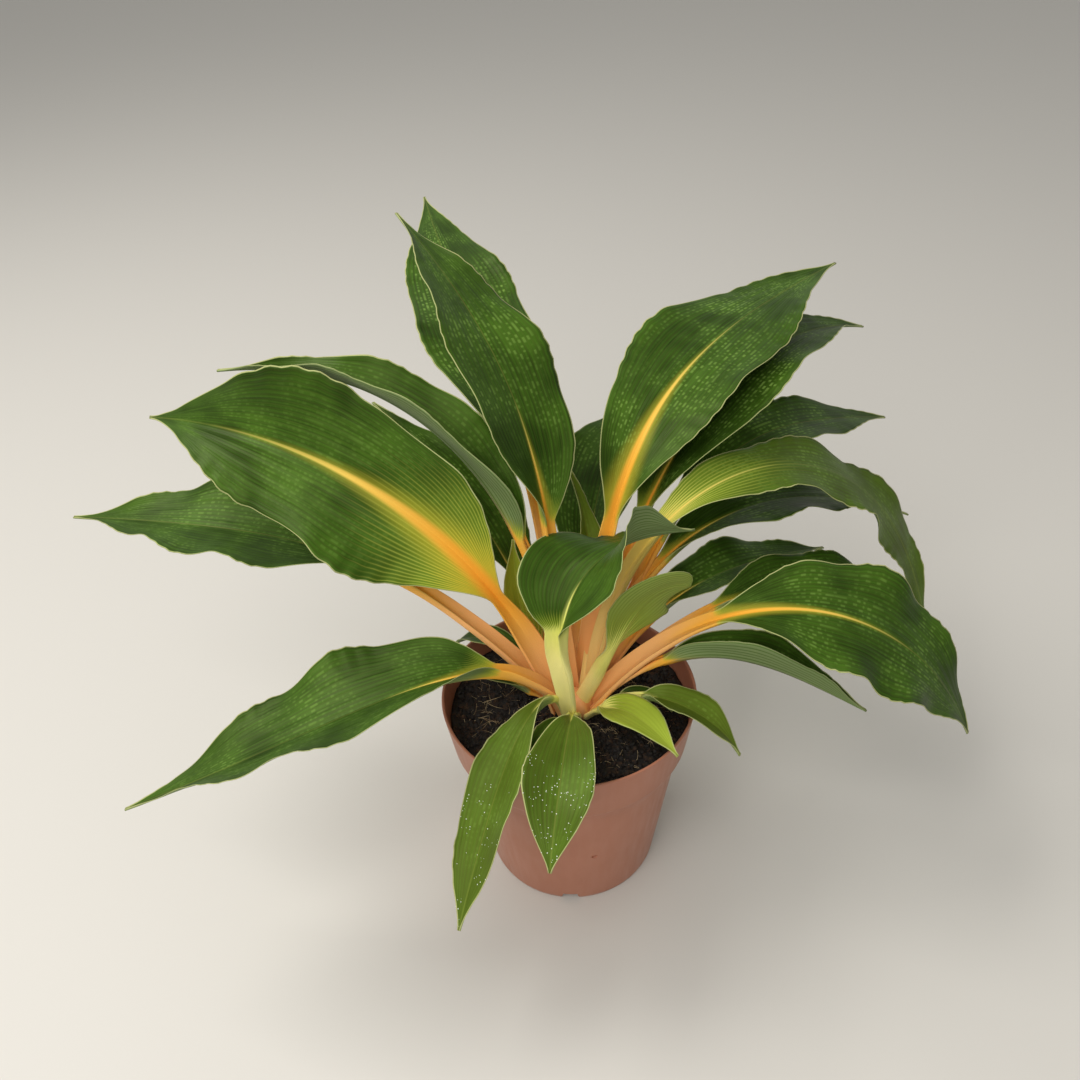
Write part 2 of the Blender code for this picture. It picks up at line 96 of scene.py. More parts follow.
# Crown that every leaf grows from, in millimetres
CROWN_X = 3.0
CROWN_Y = -1.0
CROWN_CORE = 9.0
CROWN_BOTTOM = 80.0
CROWN_TOP = 103.0
CROWN_SIDES = 48
CROWN_RINGS = 16
CROWN_SHOULDER = 0.4  # share of its height where the crown starts to close
CROWN_FULLNESS = 0.4  # the larger, the wider its top
CROWN_RIDGES = 7
CROWN_RIDGE_SHARE = 0.06

# Leaves, in millimetres unless named otherwise: the same forms as the CAD leaves
BASE_DEPTH = 15.0  # how far a stalk's sheath goes on into the crown
BASE_FLARE = 1.25
STALK_WIDTH_SHARE = 0.13
STALK_MIN_WIDTH = 2.2
STALK_DEPTH = 4.0
STALK_LEAST = 0.3
STALK_ROUND = 0.75  # share of its depth that the stalk's back stands out
CHANNEL_FOLD = 24.0  # degrees that the stalk's edges stand up
TAPER = 2.4
TIP_HALF_WIDTH = 0.6
TIP_POWER = 8
TIP_PINCH = 0.6
TIP_PINCH_POWER = 9
THROAT_POWER = 6
THROAT_FOLD = 35.0
THROAT_SHARE = 0.16
CUP = 14.0
MARGIN_SHIFT = 0.35
FLIP_SHARP = 9.0
KEEL_FADE = 3.0
SHEET_THICKNESS = 0.55
MARGIN_THINNING = 0.5  # share of the thickness that is lost at the margin
KEEL_DEPTH = 1.8
KEEL_LEAST = 0.3
KEEL_HALF_WIDTH = 1.1
KEEL_WIDENING = 2.2  # added where the blade starts
KEEL_NARROWING = 4.0
GROOVE_DEPTH = 0.45
GROOVE_HALF_WIDTH = 1.5
PLEAT_PITCH = 7.5
PLEAT_HEIGHT = 0.2  # on a blade 60 mm wide, and less on a narrow one
PLEAT_SWAY = 0.3  # how far the pleats wander sideways, as a share of their pitch
PLEAT_BENDS = 7.0
FRILL_SHARE = 0.16  # height of the margin's small waves, as a share of its large ones
FRILL_PITCH = 20.0
FRILL_SWAY = 0.7  # how unevenly the small waves follow each other
FRILL_REACH = 0.35  # how far they also stand out sideways, where the large waves are 3 mm high
ROW_PITCH = 2.0
COLUMN_PITCH = 1.7
COLUMN_LEAST = 5
COLUMN_CROWDING = 1.2  # above 1, the columns crowd towards the midrib
WALK_STEPS = 600
OPENING_START = 0.6  # share of the stalk where it starts to open into the blade
OPENING_END = 0.02  # how far past the stalk it is wholly open, as a share of the leaf
SEED_STEP = 0.37  # sets the small waves of one leaf apart from the next

# Looks, in millimetres
VEIN_PITCH = 2.2  # from one main vein to the next, with a row of pale dashes between them
BLOTCH_LENGTH = 3.0
ROW_SHIFT = 7.31  # keeps the dashes of one row apart from the next row's
MARGIN_LINE = 0.55
SPECK_SHARE = 0.45  # share of the sprinkled blades below which no speck lies
YOUNG_ABOVE = 0.4  # the young value above which a leaf is taken as young


class Leaf(NamedTuple):
    """One leaf: millimetres, degrees, and shares of its own length."""
    name: str
    azimuth: float  # heading at the crown, from +X towards +Y
    turn: float  # how far the heading has swung at the tip
    rise: float  # pitch at the crown
    fall: float  # pitch at the tip
    length: float  # from the crown to the tip, along the midrib
    width: float  # across the blade, laid flat
    stalk: float = 0.25  # share of the length that is stalk
    bend_at: float = 0.5  # share of the length where it bends most
    sharp: float = 2.5  # how suddenly it bends there
    widest: float = 0.42  # share of the blade where it is widest
    roll: float = 0.0  # right side down at the crown
    twist: float = 0.0  # roll added by the tip
    flip: float = 0.0  # roll added suddenly, where the blade turns over
    flip_at: float = 0.6  # share of the length where it turns over
    fold_left: float = 15.0  # how far the left half stands up
    fold_right: float = 15.0  # how far the right half stands up
    waves: float = 3.0  # waves along each margin
    ripple: float = 2.2  # height of the margin's waves
    phase: float = 0.0  # where the waves start
    scallop: float = 0.05  # how much the waves widen and narrow each half
    start_radius: float = 7.0  # distance from the crown's axis
    start_height: float = 95.0
    stalk_width: float = 0.0  # at the blade, where it isn't a plain share of the blade's width
    stalk_flare: float = 1.45  # how much wider the stalk is at the crown
    young: float = 0.0  # 1 where the leaf is still lime
    sap: float = 0.0  # 1 where its foot and stalk are lime instead of gold and orange
    blotches: float = 0.5  # how plainly the pale dashes between the veins show
    gold_reach: float = 0.3  # share of the blade that the golden midrib runs up
    gold_width: float = 1.4  # half the golden midrib's width where the blade starts
    fan: float = 0.05  # share of the blade that is still yellow at its base


LEAVES = [
    Leaf("leaf_left_large", 175, -28, 75, -14, 270, 74, sharp=2, widest=0.43, roll=-47, twist=10,
         fold_left=-2, fold_right=26, waves=2.2, ripple=4.5, phase=0.38, scallop=0.12, blotches=0.2,
         gold_reach=0.8, gold_width=9.0, fan=0.24),
    Leaf("leaf_left_low", 166, -4, 51, -8, 275, 57, stalk=0.35, bend_at=0.36, sharp=3.2, twist=-4,
         fold_left=8, waves=4.2, ripple=2.6, phase=0.5, scallop=0.09, blotches=0.35),
    Leaf("leaf_left_ribbon", 149, 10, 86, -14, 266, 34, stalk=0.34, bend_at=0.57, sharp=2.8,
         widest=0.34, roll=-13, twist=-17, fold_left=70, fold_right=12, waves=4, phase=0.6,
         blotches=0.3),
    Leaf("leaf_tall_front", 125, -6, 88, 13, 272, 50, stalk=0.35, bend_at=0.56, sharp=4.5,
         widest=0.38, roll=8, twist=6, fold_left=8, fold_right=2, waves=3.5, phase=0.2,
         start_radius=10, gold_reach=0.32, gold_width=1.8),
    Leaf("leaf_tall_rear", 116, -14, 82, 8, 325, 54, stalk=0.32, bend_at=0.33, sharp=4.5,
         widest=0.45, twist=-8, fold_left=0, fold_right=0, waves=3.5, phase=0.7, start_height=100,
         blotches=0.9),
    Leaf("leaf_top_front", 62, -18, 77, 0, 300, 62, stalk=0.27, bend_at=0.4, sharp=4.8, widest=0.46,
         roll=6, twist=-18, fold_left=8, fold_right=-10, waves=2.5, ripple=3, start_radius=11,
         start_height=100, blotches=0.6, gold_reach=0.62, gold_width=4.4, fan=0.06),
    Leaf("leaf_top_rear", 52, -8, 70, -22, 298, 56, stalk=0.3, widest=0.4, roll=8, twist=-4,
         fold_right=10, phase=0.45, start_radius=9, blotches=1.0),
    Leaf("leaf_right_hooked", 36, -26, 89, -74, 345, 36, stalk=0.24, bend_at=0.35, sharp=2.6,
         twist=25, flip=45, flip_at=0.72, fold_left=-8, fold_right=-8, waves=4.5, ripple=3,
         phase=0.5, start_radius=10, stalk_width=8, stalk_flare=1, young=0.1, sap=0.5,
         gold_width=0.5, fan=0.2),
    Leaf("leaf_right_high", 44, -6, 59, -21, 270, 34, stalk=0.3, bend_at=0.46, sharp=4.8,
         widest=0.5, roll=5, twist=8, fold_left=6, fold_right=0, phase=0.3, start_radius=9,
         blotches=0.7),
    Leaf("leaf_right_shaded", 41, -18, 77, -31, 250, 40, stalk=0.3, bend_at=0.22, sharp=2.3,
         fold_left=4, fold_right=5, waves=4, phase=0.15, start_radius=9, blotches=0.7),
    Leaf("leaf_right_under", 17, 6, 50, -50, 206, 38, stalk=0.35, bend_at=0.45, sharp=1,
         fold_left=8, fold_right=12, phase=0.5, start_radius=9),
    Leaf("leaf_right_lowest", 36, 2, 52, -20, 178, 34, bend_at=0.25, sharp=3, phase=0.8,
         start_radius=9),
    Leaf("leaf_right_large", 0, -8, 57, -66, 233, 58, stalk=0.33, sharp=2.3, widest=0.48, roll=14,
         twist=4, fold_left=4, fold_right=-12, waves=4, ripple=3, phase=0.25, blotches=0.45,
         gold_reach=0.62, gold_width=1.8),
    Leaf("leaf_right_folded", 356, 2, 52, -34, 150, 28, stalk=0.3, bend_at=0.37, sharp=3.8, roll=12,
         twist=11, fold_right=80, waves=2.5, ripple=1.5),
    Leaf("leaf_front_left", 208, -22, 74, -20, 226, 63, stalk=0.22, bend_at=0.15, sharp=4,
         widest=0.4, roll=-8, twist=12, fold_left=24, fold_right=4, waves=3.5, ripple=2.6,
         phase=0.43, scallop=0.08, blotches=0.35, gold_width=2.0, fan=0.06),
    Leaf("leaf_hanging_left", 237, 12, 75, -44, 141, 28, stalk=0.19, bend_at=0.24, sharp=5,
         widest=0.54, roll=12, fold_left=14, fold_right=8, waves=2, phase=0.1, start_radius=8,
         young=0.15, sap=1.0, blotches=0.25, gold_reach=0.15, gold_width=0.4, fan=0.04),
    Leaf("leaf_hanging_front", 266, -7, 55, -50, 109, 31, stalk=0.2, bend_at=0.6, sharp=1,
         widest=0.56, twist=6, fold_left=8, fold_right=8, waves=2, ripple=1.4, phase=0.6,
         start_radius=8, young=0.1, sap=1.0, blotches=0.2, gold_reach=0.12, gold_width=0.4,
         fan=0.04),
    Leaf("leaf_hanging_small", 247, 3, 45, -12, 52, 13, stalk=0.18, bend_at=0.4, sharp=3, waves=1.5,
         ripple=0.8, start_radius=10, start_height=94, sap=0.8),
    Leaf("leaf_front_lime", 310, 8, 55, -34, 64, 21, stalk=0.2, bend_at=0.55, sharp=2.4,
         fold_left=6, fold_right=6, waves=1.5, ripple=0.8, start_radius=9, young=0.95, sap=1.0,
         blotches=0.1, fan=0.3),
    Leaf("leaf_front_right", 333, 4, 60, -60, 87, 20, stalk=0.36, sharp=1, roll=-4, fold_right=14,
         waves=2, ripple=1, start_radius=10, young=0.22, sap=1.0, gold_reach=0.15, gold_width=0.5,
         fan=0.04),
    Leaf("leaf_small_right", 324, 0, 40, -16, 44, 10, stalk=0.26, bend_at=0.4, sharp=2, waves=1.5,
         ripple=0.6, start_radius=11, start_height=96, sap=0.8, fan=0.04),
    Leaf("leaf_small_inner", 345, 2, 48, -44, 42, 10, stalk=0.3, bend_at=0.6, sharp=3, waves=1.5,
         ripple=0.6, start_radius=11, sap=0.8, fan=0.04),
    Leaf("leaf_centre_open", 78, -60, 104, -12, 151, 57, stalk=0.43, bend_at=0.57, sharp=4.5,
         widest=0.37, roll=-18, twist=20, flip=-55, flip_at=0.72, fold_left=20, fold_right=14,
         waves=1.4, ripple=4.5, start_radius=-13, start_height=94, stalk_width=15, stalk_flare=0.35,
         sap=1.0, blotches=0.1, gold_width=0.6, fan=0.07),
    Leaf("leaf_centre_rolled", -18, 40, 68, -30, 93, 41, stalk=0.34, bend_at=0.9, sharp=5,
         widest=0.72, roll=-84, twist=9, fold_left=0, fold_right=-20, waves=1.5, ripple=1.2,
         start_radius=2, start_height=96, stalk_width=7, stalk_flare=1, young=0.45, sap=0.9,
         blotches=0.1, fan=0.55),
    Leaf("leaf_centre_bract", 156, -72, 62, 60, 82, 20, stalk=0.28, fold_left=30, fold_right=20,
         waves=1.5, ripple=1, start_radius=9, stalk_width=6, young=0.85, sap=0.8, fan=0.4),
    Leaf("leaf_back_twisted", 62, 55, 66, 34, 118, 14, stalk=0.35, twist=30, fold_left=30, waves=2,
         ripple=1.5, start_radius=5, young=0.3, sap=0.6),
    Leaf("leaf_back_shade", 86, -20, 41, -4, 206, 48, sharp=2.4, roll=-5, twist=-8, phase=0.4),
    Leaf("leaf_left_shade", 125, 12, 58, 16, 180, 40, sharp=2, roll=10, fold_left=24, phase=0.9),
    Leaf("leaf_low_left", 152, -7, 60, -50, 74, 14, stalk=0.3, bend_at=0.54, sharp=2, waves=1.5,
         ripple=0.8, start_radius=10),
    Leaf("leaf_low_left_small", 176, -4, 46, -4, 50, 9, stalk=0.26, sharp=2, waves=1.5, ripple=0.6,
         start_radius=11),
]
SPRINKLED = {"leaf_hanging_front": 1.0, "leaf_hanging_left": 0.35}  # how thickly


# Shared helpers

def linear(code):
    """An sRGB hex colour as linear red, green, blue and alpha."""
    channels = [int(code[i:i + 2], 16) / 255 for i in (0, 2, 4)]
    flat = [c / 12.92 if c <= 0.04045 else ((c + 0.055) / 1.055) ** 2.4 for c in channels]
    return (*flat, 1.0)


FAMILIES = ("ShaderNode", "GeometryNode", "FunctionNode", "")  # how node types' names start


def feed(tree, node, inputs):
    """Set a node's inputs, by name or in their order; each is a value, a socket, or another node
    with one output."""
    for key, value in inputs.items() if isinstance(inputs, dict) else enumerate(inputs):
        if isinstance(value, bpy.types.Node):
            value = next(socket for socket in value.outputs if socket.enabled)
        if isinstance(value, bpy.types.NodeSocket):
            tree.links.new(value, node.inputs[key])
        else:
            node.inputs[key].default_value = value


def add(tree, kind, inputs=(), **settings):
    """Add a node with its settings and inputs; its kind is named without the family."""
    family = next(family for family in FAMILIES if hasattr(bpy.types, family + kind))
    node = tree.nodes.new(family + kind)
    for name, value in settings.items():
        setattr(node, name, value)
    feed(tree, node, inputs)
    return node


def new_material(name, roughness):
    """A material with its shader, whose roughness is the same all over until it is linked."""
    material = bpy.data.materials.new(name)
    material.use_nodes = True
    tree = material.node_tree
    shader = tree.nodes["Principled BSDF"]
    shader.inputs["Roughness"].default_value = roughness
    return material, tree, shader


def new_object(name, points, faces, material=None):
    """A mesh object from points in millimetres."""
    mesh = bpy.data.meshes.new(name)
    mesh.from_pydata([tuple(point) for point in np.asarray(points) * MM], [], faces)
    mesh.shade_smooth()
    if material:
        mesh.materials.append(material)
    item = bpy.data.objects.new(name, mesh)
    bpy.context.collection.objects.link(item)
    return item


def new_tree(name, sizes):
    """A geometry tree with named inputs; gives the tree, its inputs by name and its output node."""
    tree = bpy.data.node_groups.new(name, "GeometryNodeTree")
    tree.interface.new_socket("Geometry", in_out="INPUT", socket_type="NodeSocketGeometry")
    for label, kind in sizes.items():
        tree.interface.new_socket(label, in_out="INPUT", socket_type=f"NodeSocket{kind}")
    tree.interface.new_socket("Geometry", in_out="OUTPUT", socket_type="NodeSocketGeometry")
    given = add(tree, "NodeGroupInput").outputs
    return tree, given, add(tree, "NodeGroupOutput")


def finish_tree(tree, made, geometry, material):
    """End a geometry tree: no instances left, shaded smoothly, in one material."""
    real = add(tree, "RealizeInstances", {"Geometry": geometry})
    smooth = add(tree, "SetShadeSmooth", {"Geometry": real})
    coloured = add(tree, "SetMaterial", {"Geometry": smooth, "Material": material})
    feed(tree, made, {0: coloured})


def run_tree(item, tree, values):
    """Run a geometry tree on an object, and keep what it makes as the object's plain mesh."""
    modifier = item.modifiers.new(tree.name, "NODES")
    modifier.node_group = tree
    for socket in tree.interface.items_tree:
        if socket.in_out == "INPUT" and socket.name in values:
            modifier[socket.identifier] = values[socket.name]
    item.update_tag()
    bpy.context.view_layer.update()
    graph = bpy.context.evaluated_depsgraph_get()
    mesh = bpy.data.meshes.new_from_object(item.evaluated_get(graph))
    item.modifiers.clear()
    item.data = mesh
    if not mesh.polygons:
        raise RuntimeError(f"{item.name} came out empty")


def settle(item, slot, *nodes):
    """Ride on the one body, and stand for the CAD nodes that the piece replaces."""
    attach(item, "root")
    if nodes:
        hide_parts(*nodes)


# Settings

def colour_setting(name, description, code):
    """A colour that the panel shows."""
    return FloatVectorProperty(name=name, description=description, default=linear(code), size=4,
                               subtype="COLOR")


def length_setting(name, description, metres):
    """A length that the panel shows."""
    return FloatProperty(name=name, description=description, default=metres, unit="LENGTH")


class PotSettings(bpy.types.PropertyGroup):
    """Sizes and colours of the nursery pot."""
    height: length_setting("Height", "From the foot to the lip", 0.104)
    radius: length_setting("Lip radius", "Outside, at the lip", 0.060)
    wall: length_setting("Wall", "Thickness of the plastic", 0.0015)
    band: length_setting("Rim band", "Height of the upright band under the lip", 0.0235)
    colour: colour_setting("Plastic", "Terracotta-coloured plastic", "a86e55")
    scuffed: colour_setting("Scuffs", "Where handling has dulled it", "b98069")


class PeatSettings(bpy.types.PropertyGroup):
    """Sizes and colours of the peat."""
    level: length_setting("Level", "Height of the peat above the pot's foot", 0.092)
    crumbs: FloatProperty(name="Crumbs", description="Crumbs on a square metre",
                          default=260000.0)
    fibres: FloatProperty(name="Fibres", description="Root fibres on a square metre",
                          default=75000.0)
    crumb_size: length_setting("Crumb size", "Radius of the largest crumbs", 0.0020)
    fibre_length: length_setting("Fibre length", "Length of the longest fibres", 0.014)
    seed: IntProperty(name="Seed", description="Draws the crumbs and fibres", default=7)
    moist: colour_setting("Moist peat", "Near-black hollows", "160f0b")
    dry: colour_setting("Dry peat", "Brown tops of the lumps", "5a412d")
    fibre: colour_setting("Fibre", "Dry root fibres", "d6bd92")


class LeafSettings(bpy.types.PropertyGroup):
    """Colours of the leaves and their stalks."""
    deep: colour_setting("Deep green", "Darkest parts of a blade", "1f3509")
    fresh: colour_setting("Fresh green", "Lightest parts of a blade", "41611a")
    blotch: colour_setting("Blotches", "Pale dashes between the veins", "749442")
    lime: colour_setting("Lime", "Young leaves", "a3b53c")
    under: colour_setting("Underside", "Matt back of a blade", "7f9060")
    margin: colour_setting("Margin", "Pale line round a blade", "bdbf82")
    gold: colour_setting("Gold", "Midrib and foot of a blade", "f2ae3c")
    yellow: colour_setting("Yellow", "Round the gold", "c8b838")
    ripening: colour_setting("Ripening", "Where yellow passes into green", "7d9129")
    tender: colour_setting("Tender", "Foot of a young blade", "dedf7c")
    midrib: colour_setting("Pale midrib", "Where the gold has faded from it", "cbc766")
    stalk: colour_setting("Stalk", "Orange stalks", "fcb878")
    cream: colour_setting("Cream", "Stalks of the young leaves", "fff4a0")


class SpeckSettings(bpy.types.PropertyGroup):
    """Dried water specks on the hanging leaves."""
    density: FloatProperty(name="Density", description="Specks on a square metre where they crowd",
                           default=420000.0)
    size: length_setting("Size", "Radius of the largest specks", 0.0003)
    seed: IntProperty(name="Seed", description="Draws the specks", default=3)


class StageSettings(bpy.types.PropertyGroup):
    """Floor, lights and camera."""
    floor: colour_setting("Floor", "Plain pale floor", "d2cfc8")
    key: FloatProperty(name="Key light", description="Soft light from the left",
                       default=11.5, unit="POWER")
    front: FloatProperty(name="Front light", description="Broad soft light from the camera's left",
                         default=14.5, unit="POWER")
    sky: FloatProperty(name="Room light", description="Even light from all round", default=0.46)
    lens: FloatProperty(name="Lens", description="Focal length on a 36 mm sensor",
                        default=36.0, unit="CAMERA")


# Pot

def pot_profile(sizes):
    """The pot's half section as radius and height, from the axis over the floor, out over the lip,
    down the outside and back to the axis below."""
    height = sizes.height / MM
    radius = sizes.radius / MM
    wall = sizes.wall / MM
    band_bottom = height - sizes.band / MM
    wall_top = band_bottom - SHOULDER_HEIGHT
    floor_top = FOOT_CLEARANCE + FLOOR_THICKNESS
    slope = (WALL_RADIUS - FOOT_RADIUS) / wall_top
    return [
        (0.0, floor_top),
        (FOOT_RADIUS - 2 * wall, floor_top),
        (FOOT_RADIUS - wall + slope * (floor_top + wall), floor_top + wall),
        (WALL_RADIUS - wall, wall_top),
        (BAND_RADIUS - wall, band_bottom),
        (radius - wall, height - 2 * LIP_ROUND),
        (radius - wall + LIP_ROUND, height),
        (radius - LIP_ROUND / 2, height),
        (radius, height - LIP_ROUND),
        (radius - LIP_ROUND / 2, height - 4 * LIP_ROUND),
        (BAND_RADIUS, band_bottom + LIP_ROUND),
        (BAND_RADIUS - LIP_ROUND, band_bottom - 2 * LIP_ROUND),
        (WALL_RADIUS + LIP_ROUND, wall_top + LIP_ROUND),
        (WALL_RADIUS - slope * SHOULDER_HEIGHT, wall_top - SHOULDER_HEIGHT),
        (FOOT_RADIUS + slope * 2 * FOOT_ROUND, 2 * FOOT_ROUND),
        (FOOT_RADIUS - FOOT_ROUND / 3, FOOT_ROUND / 3),
        (FOOT_RADIUS - FOOT_ROUND, 0.0),
        (FOOT_RADIUS - FOOT_RING + LIP_ROUND, 0.0),
        (FOOT_RADIUS - FOOT_RING, FOOT_CLEARANCE),
        (PAD_RADIUS + LIP_ROUND, FOOT_CLEARANCE),
        (PAD_RADIUS, 0.0),
        (0.0, 0.0),
    ]


def pot_tree():
    """Turn a profile on a small round rail, then cut the foot's notches, drains and mould mark."""
    tree, given, made = new_tree("lathed_pot", {
        "Rail radius": "Float", "Fillet": "Float", "Notch circle": "Float",
        "Drain circle": "Float", "Mark place": "Vector", "Mark turn": "Vector",
        "Plastic": "Material"})
    profile = add(tree, "MeshToCurve", {"Mesh": given["Geometry"]})
    rounded = add(tree, "FilletCurve", {
        "Curve": profile, "Count": FILLET_STEPS, "Radius": given["Fillet"], "Limit Radius": True},
        mode="POLY")
    rail = add(tree, "CurvePrimitiveCircle",
               {"Resolution": POT_SIDES, "Radius": given["Rail radius"]})
    turned = add(tree, "CurveToMesh", {"Curve": rail.outputs["Curve"], "Profile Curve": rounded})
    closed = add(tree, "MergeByDistance", {"Geometry": turned, "Distance": 0.01 * MM})
    notch = add(tree, "MeshCone", {
        "Vertices": 4, "Radius Top": (NOTCH_WIDTH / 2 - NOTCH_SLOPE) * math.sqrt(2) * MM,
        "Radius Bottom": (NOTCH_WIDTH / 2 + NOTCH_SLOPE / 2) * math.sqrt(2) * MM,
        "Depth": (NOTCH_HEIGHT + CUTTER_OVERRUN) * MM})
    squared = add(tree, "Transform", {
        "Geometry": notch.outputs["Mesh"], "Translation": (0, 0, -CUTTER_OVERRUN * MM),
        "Rotation": (0, 0, math.radians(45))})
    corners = add(tree, "MeshCircle", {"Vertices": NOTCH_COUNT, "Radius": given["Notch circle"]})
    outward = add(tree, "AlignRotationToVector", {"Vector": add(tree, "InputPosition")}, axis="X")
    notches = add(tree, "InstanceOnPoints",
                  {"Points": corners, "Instance": squared, "Rotation": outward})
    placed = add(tree, "Transform",
                 {"Geometry": notches, "Rotation": (0, 0, math.radians(NOTCH_FRONT_ANGLE))})
    drain = add(tree, "MeshCylinder", {
        "Vertices": CUTTER_SIDES, "Radius": DRAIN_RADIUS * MM,
        "Depth": 2 * (FOOT_CLEARANCE + FLOOR_THICKNESS + CUTTER_OVERRUN) * MM})
    ring = add(tree, "MeshCircle", {"Vertices": DRAIN_COUNT, "Radius": given["Drain circle"]})
    drains = add(tree, "InstanceOnPoints", {"Points": ring, "Instance": drain.outputs["Mesh"]})
    turned_ring = add(tree, "Transform",
                      {"Geometry": drains, "Rotation": (0, 0, math.pi / DRAIN_COUNT)})
    mark = add(tree, "MeshCone", {
        "Vertices": CUTTER_SIDES, "Radius Top": MARK_RADIUS * MARK_SPREAD * MM,
        "Radius Bottom": MARK_RADIUS * (2 - MARK_SPREAD) * MM, "Depth": 2 * MARK_DEPTH * MM})
    pressed = add(tree, "Transform", {
        "Geometry": mark.outputs["Mesh"], "Translation": given["Mark place"],
        "Rotation": given["Mark turn"]})
    cutters = add(tree, "JoinGeometry")
    for cutter in (placed, turned_ring, pressed):
        feed(tree, cutters, {0: cutter})
    solid = add(tree, "RealizeInstances", {"Geometry": cutters})
    cut = add(tree, "MeshBoolean", {"Mesh 1": closed, "Mesh 2": solid},
              operation="DIFFERENCE", solver="EXACT")
    finish_tree(tree, made, cut.outputs["Mesh"], given["Plastic"])
    return tree


def pot_material(looks):
    """Polypropylene from an injection mould: satin, even in colour, dulled where it is handled."""
    material, tree, shader = new_material("moulded_polypropylene", 0.4)
    place = add(tree, "TexCoord").outputs["Object"]
    blooms = add(tree, "TexNoise", {"Vector": place, "Scale": 1 / 0.022, "Detail": 3.0})
    rubbed = add(tree, "Mapping", {"Vector": place, "Scale": (1.0, 1.0, 0.12)})
    scuffs = add(tree, "TexNoise", {"Vector": rubbed, "Scale": 1 / 0.0035, "Detail": 4.0})
    worn = add(tree, "MapRange", (scuffs, 0.58, 0.75, 0.0, 0.3))
    cloudy = add(tree, "MapRange", (blooms, 0.35, 0.7, 0.0, 0.35))
    dulled = add(tree, "Math", (worn, cloudy), operation="MAXIMUM")
    colour = add(tree, "Mix", {0: dulled, 6: looks.colour, 7: looks.scuffed}, data_type="RGBA")
    rough = add(tree, "MapRange", (scuffs, 0.3, 0.7, 0.36, 0.5))
    grain = add(tree, "TexNoise", {"Vector": place, "Scale": 1 / 0.0008, "Detail": 2.0})
    bump = add(tree, "Bump", {"Height": grain, "Strength": 0.12, "Distance": 0.05 * MM})
    feed(tree, shader, {"Base Color": colour, "Roughness": rough, "Normal": bump})
    return material


class PLANT_OT_pot(bpy.types.Operator):
    """Turn the nursery pot on its axis, with its foot notches and drain holes"""
    bl_idname = "plant.pot"
    bl_label = "Nursery pot"

    def execute(self, context):
        sizes = context.scene.plant_pot
        mesh = bpy.data.meshes.new("nursery_pot")
        profile = pot_profile(sizes)
        points = [((radius - RAIL_RADIUS) * MM, -height * MM, 0.0) for radius, height in profile]
        mesh.from_pydata(points, [(i, i + 1) for i in range(len(points) - 1)], [])
        item = bpy.data.objects.new("nursery_pot", mesh)
        context.collection.objects.link(item)
        angle = math.radians(MARK_ANGLE)
        slope = (WALL_RADIUS - FOOT_RADIUS) / (sizes.height / MM - sizes.band / MM - SHOULDER_HEIGHT)
        radius = FOOT_RADIUS + slope * MARK_HEIGHT - MARK_DEPTH
        mark = Vector((radius * math.cos(angle), radius * math.sin(angle), MARK_HEIGHT)) * MM
        run_tree(item, pot_tree(), {
            "Rail radius": RAIL_RADIUS * MM, "Fillet": LIP_ROUND * MM,
            "Notch circle": (FOOT_RADIUS - FOOT_RING / 2) * MM, "Drain circle": DRAIN_CIRCLE * MM,
            "Mark place": mark, "Mark turn": (0.0, math.radians(90), angle),
            "Plastic": pot_material(sizes)})
        item.data.set_sharp_from_angle(angle=math.radians(POT_SHARP_ANGLE))
        settle(item, "terracotta_plastic", "pot")
        return {"FINISHED"}


# Peat

def peat_height(x, y, level):
    """Height of the lumpy peat above a place, all in millimetres."""
    height = level
    for size, swing in PEAT_OCTAVES:
        height += swing * noise.noise(Vector((x, y, size)) / size)
    return height


def peat_material(looks):
    """Moist sphagnum peat: near-black and dull, brown where the lumps have dried."""
    material, tree, shader = new_material("moist_peat", 0.9)
    place = add(tree, "TexCoord").outputs["Object"]
    lumps = add(tree, "TexNoise",
                {"Vector": place, "Scale": 1 / 0.004, "Detail": 5.0, "Roughness": 0.7})
    drier = add(tree, "MapRange", (lumps, 0.52, 0.75))
    colour = add(tree, "Mix", {0: drier, 6: looks.moist, 7: looks.dry}, data_type="RGBA")
    rough = add(tree, "MapRange", (lumps, 0.35, 0.6, 0.55, 0.95))
    crumbly = add(tree, "TexNoise", {"Vector": place, "Scale": 1 / 0.0012, "Detail": 4.0})
    bump = add(tree, "Bump", {"Height": crumbly, "Strength": 0.8, "Distance": 0.5 * MM})
    feed(tree, shader, {"Base Color": colour, "Roughness": rough, "Normal": bump})
    return material


def fibre_material(looks):
    """Dry root fibre: dull tan, bleached here and there."""
    material, tree, shader = new_material("dry_root_fibre", 0.75)
    place = add(tree, "TexCoord").outputs["Object"]
    age = add(tree, "TexNoise", {"Vector": place, "Scale": 1 / 0.006, "Detail": 2.0})
    tone = add(tree, "MapRange", (age, 0.3, 0.6))
    colour = add(tree, "Mix", {0: tone, 6: looks.dry, 7: looks.fibre}, data_type="RGBA")
    feed(tree, shader, {"Base Color": colour})
    return material


def peat_inner_radius(height, sizes):
    """Radius that the peat may fill at a height inside the pot, in millimetres."""
    band_bottom = (sizes.height - sizes.band) / MM
    wall_top = band_bottom - SHOULDER_HEIGHT
    outer = np.interp(height, (0.0, wall_top, band_bottom, sizes.height / MM),
                      (FOOT_RADIUS, WALL_RADIUS, BAND_RADIUS, sizes.radius / MM))
    return outer - sizes.wall / MM - PEAT_CLEARANCE


def peat_surface(level, radius):
    """Rings of points over the lumpy top, from the middle out."""
    points = []
    for i in range(1, PEAT_RINGS + 1):
        share = i / PEAT_RINGS
        for j in range(PEAT_SIDES):
            angle = math.tau * j / PEAT_SIDES
            x = radius * share * math.cos(angle)
            y = radius * share * math.sin(angle)
            points.append((x, y, peat_height(x, y, level)))
    return points


